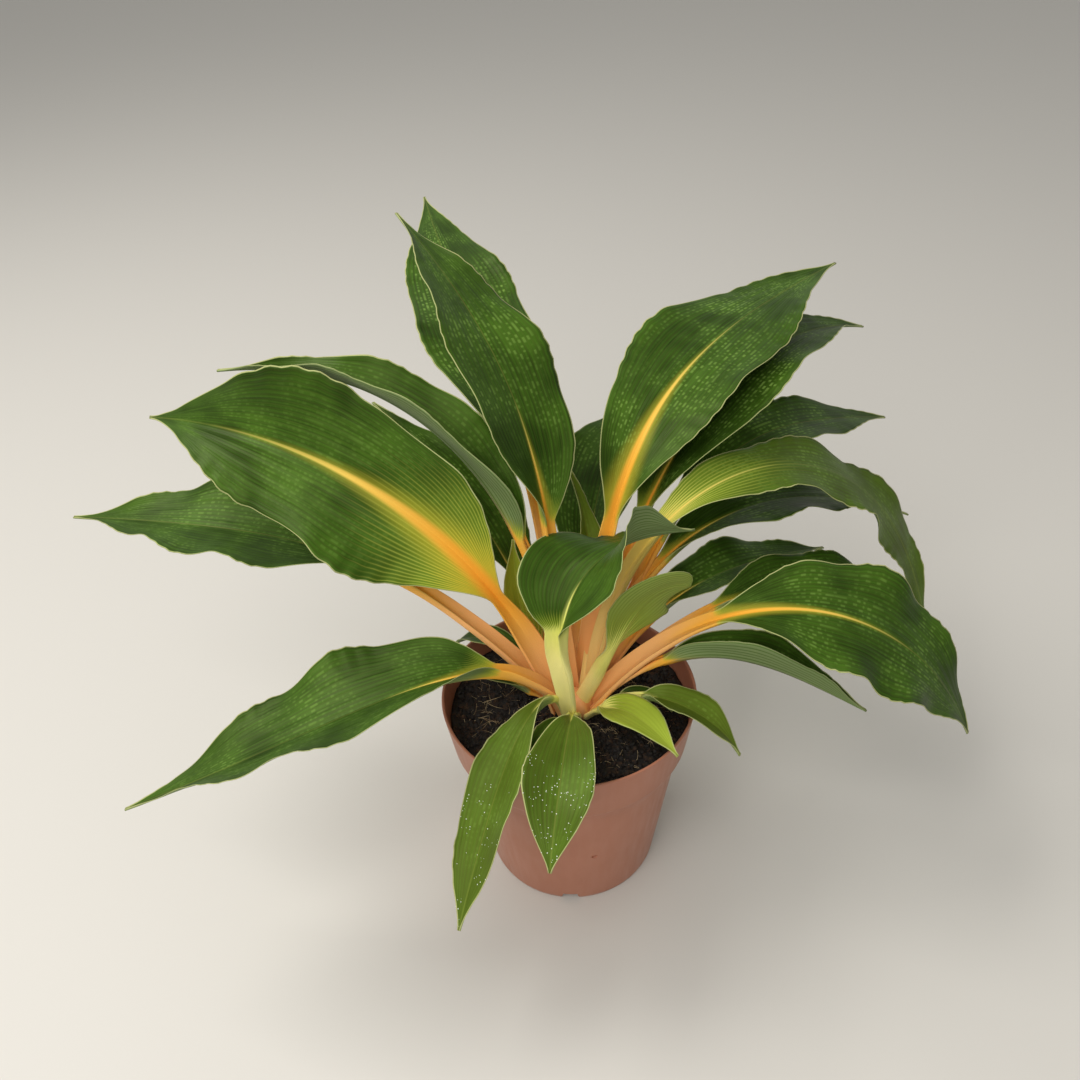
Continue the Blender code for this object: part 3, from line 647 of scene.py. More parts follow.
def ring_faces(rings, sides):
    """Quads between rings of points that follow each other."""
    faces = []
    for i in range(rings - 1):
        for j in range(sides):
            k = (j + 1) % sides
            faces.append((i * sides + j, i * sides + k, (i + 1) * sides + k, (i + 1) * sides + j))
    return faces


class PLANT_OT_peat(bpy.types.Operator):
    """Fill the pot with lumpy peat"""
    bl_idname = "plant.peat"
    bl_label = "Peat"

    def execute(self, context):
        looks = context.scene.plant_peat
        sizes = context.scene.plant_pot
        level = looks.level / MM
        bottom = FOOT_CLEARANCE + FLOOR_THICKNESS + PEAT_CLEARANCE
        points = peat_surface(level, float(peat_inner_radius(level, sizes)))
        rings = PEAT_RINGS
        band_bottom = (sizes.height - sizes.band) / MM
        for height in (band_bottom, PEAT_LOW_RING, bottom + PEAT_CHAMFER, bottom):
            inset = PEAT_CHAMFER if height == bottom else 0.0
            radius = float(peat_inner_radius(height, sizes)) - inset
            points += [(radius * math.cos(math.tau * j / PEAT_SIDES),
                        radius * math.sin(math.tau * j / PEAT_SIDES), height)
                       for j in range(PEAT_SIDES)]
            rings += 1
        faces = [tuple(reversed(face)) for face in ring_faces(rings, PEAT_SIDES)]
        faces.append(tuple(range(PEAT_SIDES)))
        faces.append(tuple(reversed(range((rings - 1) * PEAT_SIDES, rings * PEAT_SIDES))))
        item = new_object("peat", points, faces, peat_material(looks))
        settle(item, "peat", "soil")
        return {"FINISHED"}


def litter_tree(name, shape):
    """Strew copies of a small shape over a surface, each turned and sized at random, and crumple
    them."""
    tree, given, made = new_tree(name, {
        "Density": "Float", "Smallest": "Float", "Largest": "Float", "Tilt": "Float",
        "Crumple": "Float", "Crumple size": "Float", "Patches": "Float", "Patch size": "Float",
        "Seed": "Int", "Material": "Material"})
    place = add(tree, "InputPosition")
    cover = add(tree, "TexNoise", {"Vector": place, "Scale": given["Patch size"], "Detail": 1.0})
    side = add(tree, "SeparateXYZ", {0: place})
    leftward = add(tree, "Math", (side.outputs["X"], LITTER_LEAN), operation="MULTIPLY")
    chance = add(tree, "Math", (cover.outputs[0], leftward), operation="ADD")
    kept = add(tree, "Math", (chance, given["Patches"]), operation="GREATER_THAN")
    points = add(tree, "DistributePointsOnFaces", {
        "Mesh": given["Geometry"], "Selection": kept, "Density": given["Density"],
        "Seed": given["Seed"]})
    tilt = given["Tilt"]
    down = add(tree, "Math", (tilt, -1.0), operation="MULTIPLY")
    low = add(tree, "CombineXYZ", {"X": down, "Y": down})
    high = add(tree, "CombineXYZ", {"X": tilt, "Y": tilt, "Z": math.tau})
    turn = add(tree, "RandomValue", {"Min": low, "Max": high, "Seed": given["Seed"]},
               data_type="FLOAT_VECTOR")
    next_seed = add(tree, "Math", (given["Seed"], 1.0))
    size = add(tree, "RandomValue", {2: given["Smallest"], 3: given["Largest"], "Seed": next_seed},
               data_type="FLOAT")
    copies = add(tree, "InstanceOnPoints", {
        "Points": points.outputs["Points"], "Instance": shape(tree), "Rotation": turn,
        "Scale": size})
    real = add(tree, "RealizeInstances", {"Geometry": copies})
    kink = add(tree, "TexNoise", {
        "Vector": add(tree, "InputPosition"), "Scale": given["Crumple size"], "Detail": 1.0})
    centred = add(tree, "VectorMath", (kink.outputs["Color"], (0.5, 0.5, 0.5)),
                  operation="SUBTRACT")
    pushed = add(tree, "VectorMath", {0: centred, "Scale": given["Crumple"]}, operation="SCALE")
    crumpled = add(tree, "SetPosition", {"Geometry": real, "Offset": pushed})
    finish_tree(tree, made, crumpled, given["Material"])
    return tree


def crumb_shape(tree):
    """A lump one unit in radius, squashed a little."""
    lump = add(tree, "MeshIcoSphere", {"Radius": 1.0, "Subdivisions": 2})
    return add(tree, "Transform", {"Geometry": lump.outputs["Mesh"], "Scale": (1.0, 0.8, 0.6)})


def fibre_shape(tree):
    """A thin arched thread one unit long, with its ends down."""
    arc = add(tree, "CurveQuadraticBezier", {
        "Resolution": 8, "Start": (-0.5, 0.0, -0.03), "Middle": (0.05, 0.3, 0.14),
        "End": (0.5, 0.0, -0.03)})
    section = add(tree, "CurvePrimitiveCircle", {"Resolution": 4, "Radius": 0.007})
    return add(tree, "CurveToMesh", {
        "Curve": arc, "Profile Curve": section.outputs["Curve"], "Fill Caps": True})


def litter(name, looks, sizes, shape, clear, values):
    """An object that holds litter strewn over the peat's top, clear of the wall."""
    level = looks.level / MM
    radius = float(peat_inner_radius(level, sizes)) - clear
    faces = [tuple(reversed(face)) for face in ring_faces(PEAT_RINGS, PEAT_SIDES)]
    item = new_object(name, peat_surface(level, radius), faces)
    run_tree(item, litter_tree(name, shape), values)
    settle(item, "peat")


class PLANT_OT_crumbs(bpy.types.Operator):
    """Strew peat crumbs and bark bits over the peat"""
    bl_idname = "plant.crumbs"
    bl_label = "Peat crumbs"

    def execute(self, context):
        looks = context.scene.plant_peat
        litter("peat_crumbs", looks, context.scene.plant_pot, crumb_shape, CRUMB_CLEARANCE, {
            "Density": looks.crumbs, "Smallest": looks.crumb_size * 0.2,
            "Largest": looks.crumb_size, "Tilt": 1.2, "Crumple": looks.crumb_size,
            "Crumple size": 1 / looks.crumb_size, "Patches": -9.0, "Patch size": 50.0,
            "Seed": looks.seed, "Material": peat_material(looks)})
        return {"FINISHED"}


class PLANT_OT_fibres(bpy.types.Operator):
    """Strew tan root fibres over the peat, most of them on the left"""
    bl_idname = "plant.fibres"
    bl_label = "Root fibres"

    def execute(self, context):
        looks = context.scene.plant_peat
        litter("root_fibres", looks, context.scene.plant_pot, fibre_shape, FIBRE_CLEARANCE, {
            "Density": looks.fibres, "Smallest": looks.fibre_length * 0.25,
            "Largest": looks.fibre_length, "Tilt": 0.35, "Crumple": looks.fibre_length * 0.14,
            "Crumple size": 160.0, "Patches": 0.36, "Patch size": 90.0,
            "Seed": looks.seed, "Material": fibre_material(looks)})
        return {"FINISHED"}


# Leaves

def smoothstep(low, high, value):
    """Go from 0 to 1 between two values, slowly at both ends."""
    share = np.clip((value - low) / (high - low), 0.0, 1.0)
    return share * share * (3 - 2 * share)


def ramp(share, at, sharp):
    """Go from 0 to 1 along a leaf, fastest at one share of its length."""
    start = math.tanh(-sharp * at)
    end = math.tanh(sharp * (1 - at))
    return (np.tanh(sharp * (share - at)) - start) / (end - start)


def leaf_axes(leaf, share):
    """Forward, right and upward directions at each share of the leaf's length."""
    sunk = np.clip(-share * leaf.length / BASE_DEPTH, 0.0, 1.0)
    heading = np.radians(leaf.azimuth + leaf.turn * share)
    pitch = leaf.rise + (leaf.fall - leaf.rise) * ramp(share, leaf.bend_at, leaf.sharp)
    pitch = np.radians(pitch + (90.0 - pitch) * sunk)
    flip = leaf.flip * ramp(share, leaf.flip_at, FLIP_SHARP)
    roll = np.radians(leaf.roll + leaf.twist * share + flip)[:, None]
    forward = np.stack((np.cos(heading) * np.cos(pitch), np.sin(heading) * np.cos(pitch),
                        np.sin(pitch)), axis=1)
    level = np.stack((np.sin(heading), -np.cos(heading), np.zeros_like(heading)), axis=1)
    upright = np.cross(level, forward)
    right = level * np.cos(roll) - upright * np.sin(roll)
    up = upright * np.cos(roll) + level * np.sin(roll)
    return forward, right, up


def leaf_spine(leaf, shares):
    """The midrib's places at rising shares, walked out from the crown."""
    walk = np.linspace(shares[0], shares[-1], WALK_STEPS + 1)
    forward = leaf_axes(leaf, (walk[1:] + walk[:-1]) / 2)[0]
    steps = forward * np.diff(walk)[:, None] * leaf.length
    places = np.vstack((np.zeros(3), np.cumsum(steps, axis=0)))
    azimuth = math.radians(leaf.azimuth)
    start = np.array((CROWN_X + leaf.start_radius * math.cos(azimuth),
                      CROWN_Y + leaf.start_radius * math.sin(azimuth), leaf.start_height))
    at = np.stack([np.interp(shares, walk, places[:, axis]) for axis in range(3)], axis=1)
    crown = np.array([np.interp(0.0, walk, places[:, axis]) for axis in range(3)])
    return at - crown + start


def leaf_half_width(leaf, share, t):
    """Half the leaf's width along its stalk and blade."""
    foot = max(STALK_MIN_WIDTH, leaf.stalk_width or leaf.width * STALK_WIDTH_SHARE) / 2
    flare = 1 + (leaf.stalk_flare - 1) * (1 - np.clip(share, 0.0, 1.0) / leaf.stalk)
    sheath = 1 + (BASE_FLARE - 1) * np.clip(-share * leaf.length / BASE_DEPTH, 0.0, 1.0)
    grow = (t / leaf.widest) ** (TAPER * leaf.widest)
    shrink = ((1 - t) / (1 - leaf.widest)) ** (TAPER * (1 - leaf.widest))
    spread = leaf.width / 2 * grow * shrink * (1 - TIP_PINCH * t ** TIP_PINCH_POWER)
    blade = np.hypot(spread, foot * (1 - t) ** THROAT_POWER) + TIP_HALF_WIDTH * t ** TIP_POWER
    return np.where(t > 0, blade, foot * flare * sheath)


def leaf_columns(leaf):
    """Places across the leaf, from -1 at the left margin to 1 at the right."""
    count = max(COLUMN_LEAST, round(leaf.width / 2 / COLUMN_PITCH))
    half = np.linspace(0.0, 1.0, count + 1) ** COLUMN_CROWDING
    return np.concatenate((-half[:0:-1], half))


def leaf_section(leaf, t, x, half, bladed, seed):
    """Sideways and upward places of the upper face, in the plane across the midrib."""
    cycle = leaf.waves * t + leaf.phase + np.where(x > 0, MARGIN_SHIFT, 0.0)
    swell = np.sin(np.pi * t)
    reach = np.abs(x) * half * (1 + leaf.scallop * swell * x ** 2 * np.cos(math.tau * cycle))
    crimp = math.tau * (t * leaf.length / FRILL_PITCH + FRILL_SWAY * np.sin(math.tau * cycle) + seed)
    reach = reach + FRILL_REACH * leaf.ripple / 3 * swell * x ** 6 * np.cos(crimp)
    fold = np.where(x > 0, leaf.fold_right, leaf.fold_left)
    fold = fold + THROAT_FOLD * np.exp(-((t / THROAT_SHARE) ** 2)) + CUP * np.abs(x) / 2
    fold = np.radians(bladed * fold + (1 - bladed) * CHANNEL_FOLD * np.abs(x))
    wave = leaf.ripple * x ** 2 * swell * np.sin(math.tau * cycle)
    frill = FRILL_SHARE * leaf.ripple * x ** 4 * swell * np.sin(crimp)
    vein = x * leaf.width / 2
    pleat = (PLEAT_HEIGHT * leaf.width / 60 * swell * (1 - x ** 4)
             * np.cos(math.tau * (vein / PLEAT_PITCH + PLEAT_SWAY * np.sin(PLEAT_BENDS * t + seed))))
    groove = GROOVE_DEPTH * bladed * np.exp(-(reach / GROOVE_HALF_WIDTH) ** 2 - t)
    return (np.sign(x) * reach * np.cos(fold),
            reach * np.sin(fold) + wave + frill + pleat * bladed - groove)


def leaf_thickness(t, x, half, bladed):
    """How far the underside lies below the upper face."""
    reach = np.abs(x) * half
    keel_half = KEEL_HALF_WIDTH + KEEL_WIDENING * np.exp(-KEEL_NARROWING * t)
    keel = (KEEL_LEAST + KEEL_DEPTH * np.exp(-KEEL_FADE * t)) * np.exp(-(reach / keel_half) ** 2)
    blade = SHEET_THICKNESS * (1 - MARGIN_THINNING * x ** 6) + keel
    depth = np.minimum(half, STALK_DEPTH)
    stalk = STALK_LEAST + STALK_ROUND * depth * np.sqrt(1 - x ** 2)
    return bladed * blade + (1 - bladed) * stalk


def grid_faces(rows, columns):
    """Faces of a closed sheet: an upper grid of points, then a lower grid like it."""
    def at(i, j, lower):
        return (lower * rows + i) * columns + j

    faces = []
    for i in range(rows - 1):
        for j in range(columns - 1):
            faces.append((at(i, j, 0), at(i, j + 1, 0), at(i + 1, j + 1, 0), at(i + 1, j, 0)))
            faces.append((at(i, j, 1), at(i + 1, j, 1), at(i + 1, j + 1, 1), at(i, j + 1, 1)))
        last = columns - 1
        faces.append((at(i, 0, 0), at(i + 1, 0, 0), at(i + 1, 0, 1), at(i, 0, 1)))
        faces.append((at(i, last, 0), at(i, last, 1), at(i + 1, last, 1), at(i + 1, last, 0)))
    end = rows - 1
    for j in range(columns - 1):
        faces.append((at(0, j, 0), at(0, j, 1), at(0, j + 1, 1), at(0, j + 1, 0)))
        faces.append((at(end, j, 0), at(end, j + 1, 0), at(end, j + 1, 1), at(end, j, 1)))
    return faces


def make_leaf(leaf, index, material):
    """A whole leaf: a channelled stalk that opens into a waved blade, closed all round."""
    base = -BASE_DEPTH / leaf.length
    rows = round((leaf.length + BASE_DEPTH) / ROW_PITCH) + 1
    share = np.linspace(base, 1.0, rows)
    x = leaf_columns(leaf)[None, :]
    blade_share = ((share - leaf.stalk) / (1 - leaf.stalk))[:, None]
    t = np.clip(blade_share, 0.0, 1.0)
    half = leaf_half_width(leaf, share[:, None], t)
    bladed = smoothstep(leaf.stalk * OPENING_START, leaf.stalk + OPENING_END, share)[:, None]
    sideways, upward = leaf_section(leaf, t, x, half, bladed, SEED_STEP * index)
    slope_side = np.gradient(sideways, axis=1)
    slope_up = np.gradient(upward, axis=1)
    slope = np.hypot(slope_side, slope_up)
    thick = leaf_thickness(t, x, half, bladed)
    spine = leaf_spine(leaf, share)[:, None, :]
    right, up = (axis[:, None, :] for axis in leaf_axes(leaf, share)[1:])
    upper = spine + right * sideways[..., None] + up * upward[..., None]
    lower = (upper + right * (slope_up / slope * thick)[..., None]
             - up * (slope_side / slope * thick)[..., None])
    points = np.concatenate((upper.reshape(-1, 3), lower.reshape(-1, 3)))
    item = new_object(leaf.name + "_whole", points, grid_faces(rows, x.shape[1]), material)
    ones = np.ones_like(sideways)
    marks = {
        "across_mm": x * half, "along_mm": share[:, None] * leaf.length * ones + 1000.0 * index,
        "vein_mm": x * leaf.width / 2 * ones, "edge_mm": (1 - np.abs(x)) * half,
        "blade_share": blade_share * ones, "across_share": x * ones,
        **{trait: getattr(leaf, trait) * ones for trait in LEAF_TRAITS},
    }
    for name, values in marks.items():
        layer = item.data.attributes.new(name, "FLOAT", "POINT")
        layer.data.foreach_set("value", np.tile(values.ravel(), 2).astype(np.float32))
    under = item.data.attributes.new("under", "FLOAT", "POINT")
    under.data.foreach_set("value", np.repeat((0.0, 1.0), ones.size).astype(np.float32))
    slot = "young_leaf" if leaf.young > YOUNG_ABOVE else "leaf_green"
    settle(item, slot, leaf.name, "crown_and_stalks")


LEAF_TRAITS = ("young", "sap", "blotches", "gold_reach", "gold_width", "fan")
LEAF_MARKS = ("across_mm", "along_mm", "vein_mm", "edge_mm", "blade_share", "across_share",
              "under", *LEAF_TRAITS)
SMOOTHLY = {"interpolation_type": "SMOOTHSTEP"}


def leaf_material(looks):
    """Waxy leaf skin: a satin upper face with parallel veins and rows of pale dashes, a pale
    margin, a golden midrib that fades up the blade, an orange stalk, and a matt grey-green back."""
    material, tree, shader = new_material("waxy_leaf_skin", 0.4)
    mark = {name: add(tree, "Attribute", attribute_name=name).outputs["Fac"]
            for name in LEAF_MARKS}

    # Streaks along the veins, and slow changes of tone
    drawn_out = add(tree, "Math", (mark["along_mm"], 0.03), operation="MULTIPLY")
    fibre_place = add(tree, "CombineXYZ", {"X": mark["vein_mm"], "Y": drawn_out})
    streaks = add(tree, "TexNoise", {"Vector": fibre_place, "Scale": 0.9, "Detail": 3.0})
    cloud_place = add(tree, "CombineXYZ", {"X": mark["vein_mm"], "Y": mark["along_mm"]})
    clouds = add(tree, "TexNoise", {"Vector": cloud_place, "Scale": 1 / 26, "Detail": 2.0})

    # Pale dashes, in rows between the veins
    row = add(tree, "Math", (mark["vein_mm"], VEIN_PITCH), operation="DIVIDE")
    row_number = add(tree, "Math", (row,), operation="FLOOR")
    row_shift = add(tree, "Math", (row_number, ROW_SHIFT), operation="MULTIPLY")
    step = add(tree, "Math", (mark["along_mm"], BLOTCH_LENGTH), operation="DIVIDE")
    dash_place = add(tree, "CombineXYZ", {"X": row_shift, "Y": step})
    dash_noise = add(tree, "TexNoise", {"Vector": dash_place, "Scale": 1.3, "Detail": 0.0})
    dash = add(tree, "MapRange", (dash_noise, 0.47, 0.62), **SMOOTHLY)
    from_vein = add(tree, "Math", (mark["vein_mm"], VEIN_PITCH / 2), operation="PINGPONG")
    between = add(tree, "MapRange", (from_vein, 0.12 * VEIN_PITCH, 0.36 * VEIN_PITCH), **SMOOTHLY)
    patchy = add(tree, "MapRange", (clouds, 0.4, 0.62))
    inland = add(tree, "MapRange", (mark["edge_mm"], 1.5, 6.0), **SMOOTHLY)
    strength = mark["blotches"]
    for part in (dash, between, patchy, inland):
        strength = add(tree, "Math", (strength, part), operation="MULTIPLY")

    # Green of the blade, a little darker along each vein, then the dashes, then lime if young
    smooth_tone = add(tree, "Math", (streaks, 0.6, clouds), operation="MULTIPLY_ADD")
    tone = add(tree, "Math", (from_vein, 0.18, smooth_tone), operation="MULTIPLY_ADD")
    toned = add(tree, "MapRange", (tone, 0.66, 1.14))
    green = add(tree, "Mix", {0: toned, 6: looks.deep, 7: looks.fresh}, data_type="RGBA")
    for share, top in ((strength, looks.blotch), (mark["young"], looks.lime)):
        green = add(tree, "Mix", {0: share, 6: green, 7: top}, data_type="RGBA")

    # Gold at the foot of the blade, which runs out through yellow along the veins
    stalk, gold, yellow = (
        add(tree, "Mix", {0: mark["sap"], 6: ripe, 7: sappy}, data_type="RGBA")
        for ripe, sappy in ((looks.stalk, looks.cream), (looks.gold, looks.tender),
                            (looks.yellow, looks.tender)))
    aside = add(tree, "Math", (mark["across_share"],), operation="ABSOLUTE")
    in_fans = add(tree, "Math", (mark["blade_share"], mark["fan"]), operation="DIVIDE")
    combed = add(tree, "Math", (from_vein, 0.45), operation="MULTIPLY")
    frayed = add(tree, "Math", (streaks, 0.7, combed), operation="MULTIPLY_ADD")
    tight = add(tree, "Math", (aside, 1.7, 1.0), operation="MULTIPLY_ADD")
    loose = add(tree, "Math", (aside, 0.5, 1.0), operation="MULTIPLY_ADD")
    near_rib = add(tree, "Math", (in_fans, tight, frayed), operation="MULTIPLY_ADD")
    reached = add(tree, "Math", (in_fans, loose, frayed), operation="MULTIPLY_ADD")
    to_gold, to_yellow, to_ripening, to_green = (
        add(tree, "MapRange", (value, low, high), **SMOOTHLY)
        for value, low, high in ((mark["blade_share"], -0.22, 0.05), (near_rib, 0.7, 1.4),
                                 (reached, 0.8, 1.5), (reached, 1.0, 2.5)))

    # Veins, drawn fine and pale, plainest where the blade is still yellow
    vein_line = add(tree, "MapRange", (from_vein, 0.0, VEIN_PITCH * 0.22, 0.9, 0.0))
    plainly = add(tree, "MapRange", (to_green, 0.0, 1.0, 0.4, 0.03))
    pale_vein = add(tree, "Math", (vein_line, plainly), operation="MULTIPLY")

    # Golden midrib, which narrows and pales up the blade, with a glow beside it
    gone = add(tree, "Math", (mark["blade_share"], mark["gold_reach"]),
               operation="DIVIDE", use_clamp=True)
    left = add(tree, "Math", (1.0, gone), operation="SUBTRACT")
    slimmer = add(tree, "Math", (left, 2.3), operation="POWER")
    half = add(tree, "Math", (slimmer, mark["gold_width"]), operation="MULTIPLY")
    outer = add(tree, "Math", (half, 0.5), operation="ADD")
    inner = add(tree, "Math", (outer, 0.25), operation="MULTIPLY")
    farther = add(tree, "Math", (outer, 3.0), operation="MULTIPLY")
    off_rib = add(tree, "Math", (mark["across_mm"],), operation="ABSOLUTE")
    on_blade = add(tree, "MapRange", (mark["blade_share"], 0.0, 0.06))
    glow, rib = (
        add(tree, "MapRange", (off_rib, inner, edge, most, 0.0), **SMOOTHLY)
        for edge, most in ((farther, 0.7), (outer, 1.0)))
    for part in (left, on_blade):
        glow = add(tree, "Math", (glow, part), operation="MULTIPLY")
    lasting = add(tree, "MapRange", (gone, 0.55, 1.0, 1.0, 0.08))
    for part in (lasting, to_gold):
        rib = add(tree, "Math", (rib, part), operation="MULTIPLY")
    paled = add(tree, "MapRange", (gone, 0.2, 0.9))
    rib_colour = add(tree, "Mix", {0: paled, 6: gold, 7: looks.midrib}, data_type="RGBA")

    # Pale margin on the blade alone
    margin = add(tree, "MapRange", (mark["edge_mm"], MARGIN_LINE * 0.5, MARGIN_LINE, 0.8, 0.0),
                 **SMOOTHLY)
    lined = add(tree, "Math", (margin, on_blade), operation="MULTIPLY")

    # Matt back, which keeps some of the upper face's colour
    back = add(tree, "Math", (mark["under"], to_green), operation="MULTIPLY")
    backed = add(tree, "Math", (back, 0.8), operation="MULTIPLY")
    back_colour = looks.under
    for share, top in ((mark["young"], looks.lime), (vein_line, looks.fresh)):
        back_colour = add(tree, "Mix", {0: share, 6: back_colour, 7: top}, data_type="RGBA")

    # All of it in layers, from the stalk's colour up
    colour = stalk
    for share, top in ((to_gold, gold), (to_yellow, yellow), (to_ripening, looks.ripening),
                       (to_green, green), (pale_vein, looks.midrib), (glow, yellow),
                       (rib, rib_colour), (lined, looks.margin), (backed, back_colour)):
        colour = add(tree, "Mix", {0: share, 6: colour, 7: top}, data_type="RGBA")
    gloss = add(tree, "MapRange", (mark["under"], 0.0, 1.0, 0.33, 0.58))
    uneven = add(tree, "Math", (streaks, 0.16, gloss), operation="MULTIPLY_ADD")
    veined = add(tree, "Math", (from_vein, streaks), operation="ADD")
    puckered = add(tree, "Math", (strength, 0.6, veined), operation="MULTIPLY_ADD")
    bump = add(tree, "Bump", {"Height": puckered, "Strength": 0.35, "Distance": 0.12 * MM})
    feed(tree, shader, {
        "Base Color": colour, "Specular IOR Level": 0.26, "Specular Tint": linear("c8dc8c"),
        "Roughness": uneven, "Normal": bump})
    return material


def speck_material():
    """Lime that hard water leaves where drops dry: matt and chalk white."""
    material, _, shader = new_material("dried_water_lime", 0.7)
    shader.inputs["Base Color"].default_value = linear("f0f2e6")
    return material


def speck_tree():
    """Scatter small domes over a leaf's upper face, in clusters on its outer part."""
    tree, given, made = new_tree("water_specks", {
        "Density": "Float", "Smallest": "Float", "Largest": "Float", "Least share": "Float",
        "Seed": "Int", "Material": "Material"})
    under = add(tree, "InputNamedAttribute", {"Name": "under"})
    share = add(tree, "InputNamedAttribute", {"Name": "blade_share"})
    face_up = add(tree, "Math", (under.outputs[0], 0.4), operation="LESS_THAN")
    outward = add(tree, "Math", (share.outputs[0], given["Least share"]), operation="GREATER_THAN")
    both = add(tree, "Math", (face_up, outward), operation="MULTIPLY")
    in_bands = add(tree, "VectorMath", (add(tree, "InputPosition"), (1.0, 1.0, 3.0)),
                   operation="MULTIPLY")
    clusters = add(tree, "TexNoise", {"Vector": in_bands, "Scale": 1 / 0.012, "Detail": 2.0})
    thick = add(tree, "MapRange", (clusters, 0.5, 0.68, 0.06))
    often = add(tree, "Math", (thick, given["Density"]), operation="MULTIPLY")
    points = add(tree, "DistributePointsOnFaces", {
        "Mesh": given["Geometry"], "Selection": both, "Density": often, "Seed": given["Seed"]})
    dome = add(tree, "MeshIcoSphere", {"Radius": 1.0, "Subdivisions": 1})
    flat = add(tree, "Transform", {"Geometry": dome.outputs["Mesh"], "Scale": (1.0, 1.0, 0.5)})
    size = add(tree, "RandomValue", {
        2: given["Smallest"], 3: given["Largest"], "Seed": given["Seed"]}, data_type="FLOAT")
    copies = add(tree, "InstanceOnPoints", {
        "Points": points.outputs["Points"], "Instance": flat,
        "Rotation": points.outputs["Rotation"], "Scale": size})
    finish_tree(tree, made, copies, given["Material"])
    return tree


class PLANT_OT_specks(bpy.types.Operator):
    """Sprinkle dried water specks over the hanging leaves"""
    bl_idname = "plant.specks"
    bl_label = "Water specks"

    def execute(self, context):
        looks = context.scene.plant_specks
        material = speck_material()
        for name, thickly in SPRINKLED.items():
            leaf = bpy.data.objects[name + "_whole"]
            item = bpy.data.objects.new(name + "_specks", leaf.data.copy())
            context.collection.objects.link(item)
            run_tree(item, speck_tree(), {
                "Density": looks.density * thickly, "Smallest": looks.size * 0.3,
                "Largest": looks.size, "Least share": SPECK_SHARE, "Seed": looks.seed,
                "Material": material})
            settle(item, "leaf_green")
        return {"FINISHED"}


class PLANT_OT_leaves(bpy.types.Operator):
    """Grow every leaf from the crown, each with its stalk"""
    bl_idname = "plant.leaves"
    bl_label = "Leaves"

    def execute(self, context):
        material = leaf_material(context.scene.plant_leaf)
        for index, leaf in enumerate(LEAVES):
            if leaf.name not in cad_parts:
                raise RuntimeError(f"the frame has no {leaf.name}")
            make_leaf(leaf, index, material)
        return {"FINISHED"}


# Crown

def crown_material(looks):
    """Stalk bases grown together: waxy and pale orange, with painted shade in dark brown low down,
    where they meet the peat under the leaves.
    """
    material, tree, shader = new_material("waxy_stalk_skin", 0.45)
    place = add(tree, "TexCoord").outputs["Object"]
    height = add(tree, "SeparateXYZ", {0: place})
    # Painted shade: below about 9 cm the crown turns dark brown under the leaves, and above 10 cm it
    # keeps the stalks' own orange
    above_painted_shade = add(tree, "MapRange", (height.outputs["Z"], 0.09, 0.1))
    colour = add(tree, "Mix", {0: above_painted_shade, 6: linear("5d4526"), 7: looks.stalk}, data_type="RGBA")
    ribs = add(tree, "Mapping", {"Vector": place, "Scale": (1.0, 1.0, 0.1)})
    fibres = add(tree, "TexNoise", {"Vector": ribs, "Scale": 1 / 0.0015, "Detail": 2.0})
    bump = add(tree, "Bump", {"Height": fibres, "Strength": 0.3, "Distance": 0.2 * MM})
    feed(tree, shader, {"Base Color": colour, "Normal": bump})
    return material


class PLANT_OT_crown(bpy.types.Operator):
    """Shape the short crown that the stalks grow from"""
    bl_idname = "plant.crown"
    bl_label = "Crown"

    def execute(self, context):
        points = []
        for i in range(CROWN_RINGS + 1):
            share = i / CROWN_RINGS
            height = CROWN_BOTTOM + (CROWN_TOP - CROWN_BOTTOM) * share
            closing = max(0.0, share - CROWN_SHOULDER) ** 2 / CROWN_FULLNESS
            radius = CROWN_CORE * math.sqrt(max(0.0, 1 - closing))
            for j in range(CROWN_SIDES):
                angle = math.tau * j / CROWN_SIDES
                ridge = 1 + CROWN_RIDGE_SHARE * math.sin(CROWN_RIDGES * angle + 3 * share)
                points.append((CROWN_X + radius * ridge * math.cos(angle),
                               CROWN_Y + radius * ridge * math.sin(angle), height))
        faces = ring_faces(CROWN_RINGS + 1, CROWN_SIDES)
        faces.append(tuple(reversed(range(CROWN_SIDES))))
        faces.append(tuple(range(CROWN_RINGS * CROWN_SIDES, (CROWN_RINGS + 1) * CROWN_SIDES)))
        item = new_object("crown", points, faces, crown_material(context.scene.plant_leaf))
        settle(item, "stalk_orange", "crown_and_stalks")
        return {"FINISHED"}


# Stage

CAMERA_PLACE = (0.0, -0.36746, 0.46384)
CAMERA_PITCH = -36.5
CAMERA_YAW = 1.6
CAMERA_ROLL = -2.65
AIM = (0.0, 0.04, 0.14)
KEY_PLACE = (-0.75, 0.25, 1.3)
KEY_SIZE = 0.7
KEY_COLOUR = (1.0, 0.97, 0.93)
FRONT_PLACE = (-0.45, -0.95, 1.2)
FRONT_SIZE = 1.2
FRONT_COLOUR = (1.0, 0.98, 0.96)
FLOOR_CORNERS = ((-4000, -4000, 0), (4000, -4000, 0), (4000, 6000, 0), (-4000, 6000, 0))


def aim_light(name, place, size, power, colour):
    """A soft square light that looks at the plant."""
    lamp = bpy.data.lights.new(name, "AREA")
    lamp.energy = power
    lamp.size = size
    lamp.color = colour
    item = bpy.data.objects.new(name, lamp)
    item.location = place
    item.rotation_euler = (Vector(AIM) - Vector(place)).to_track_quat("-Z", "Y").to_euler()
    bpy.context.collection.objects.link(item)


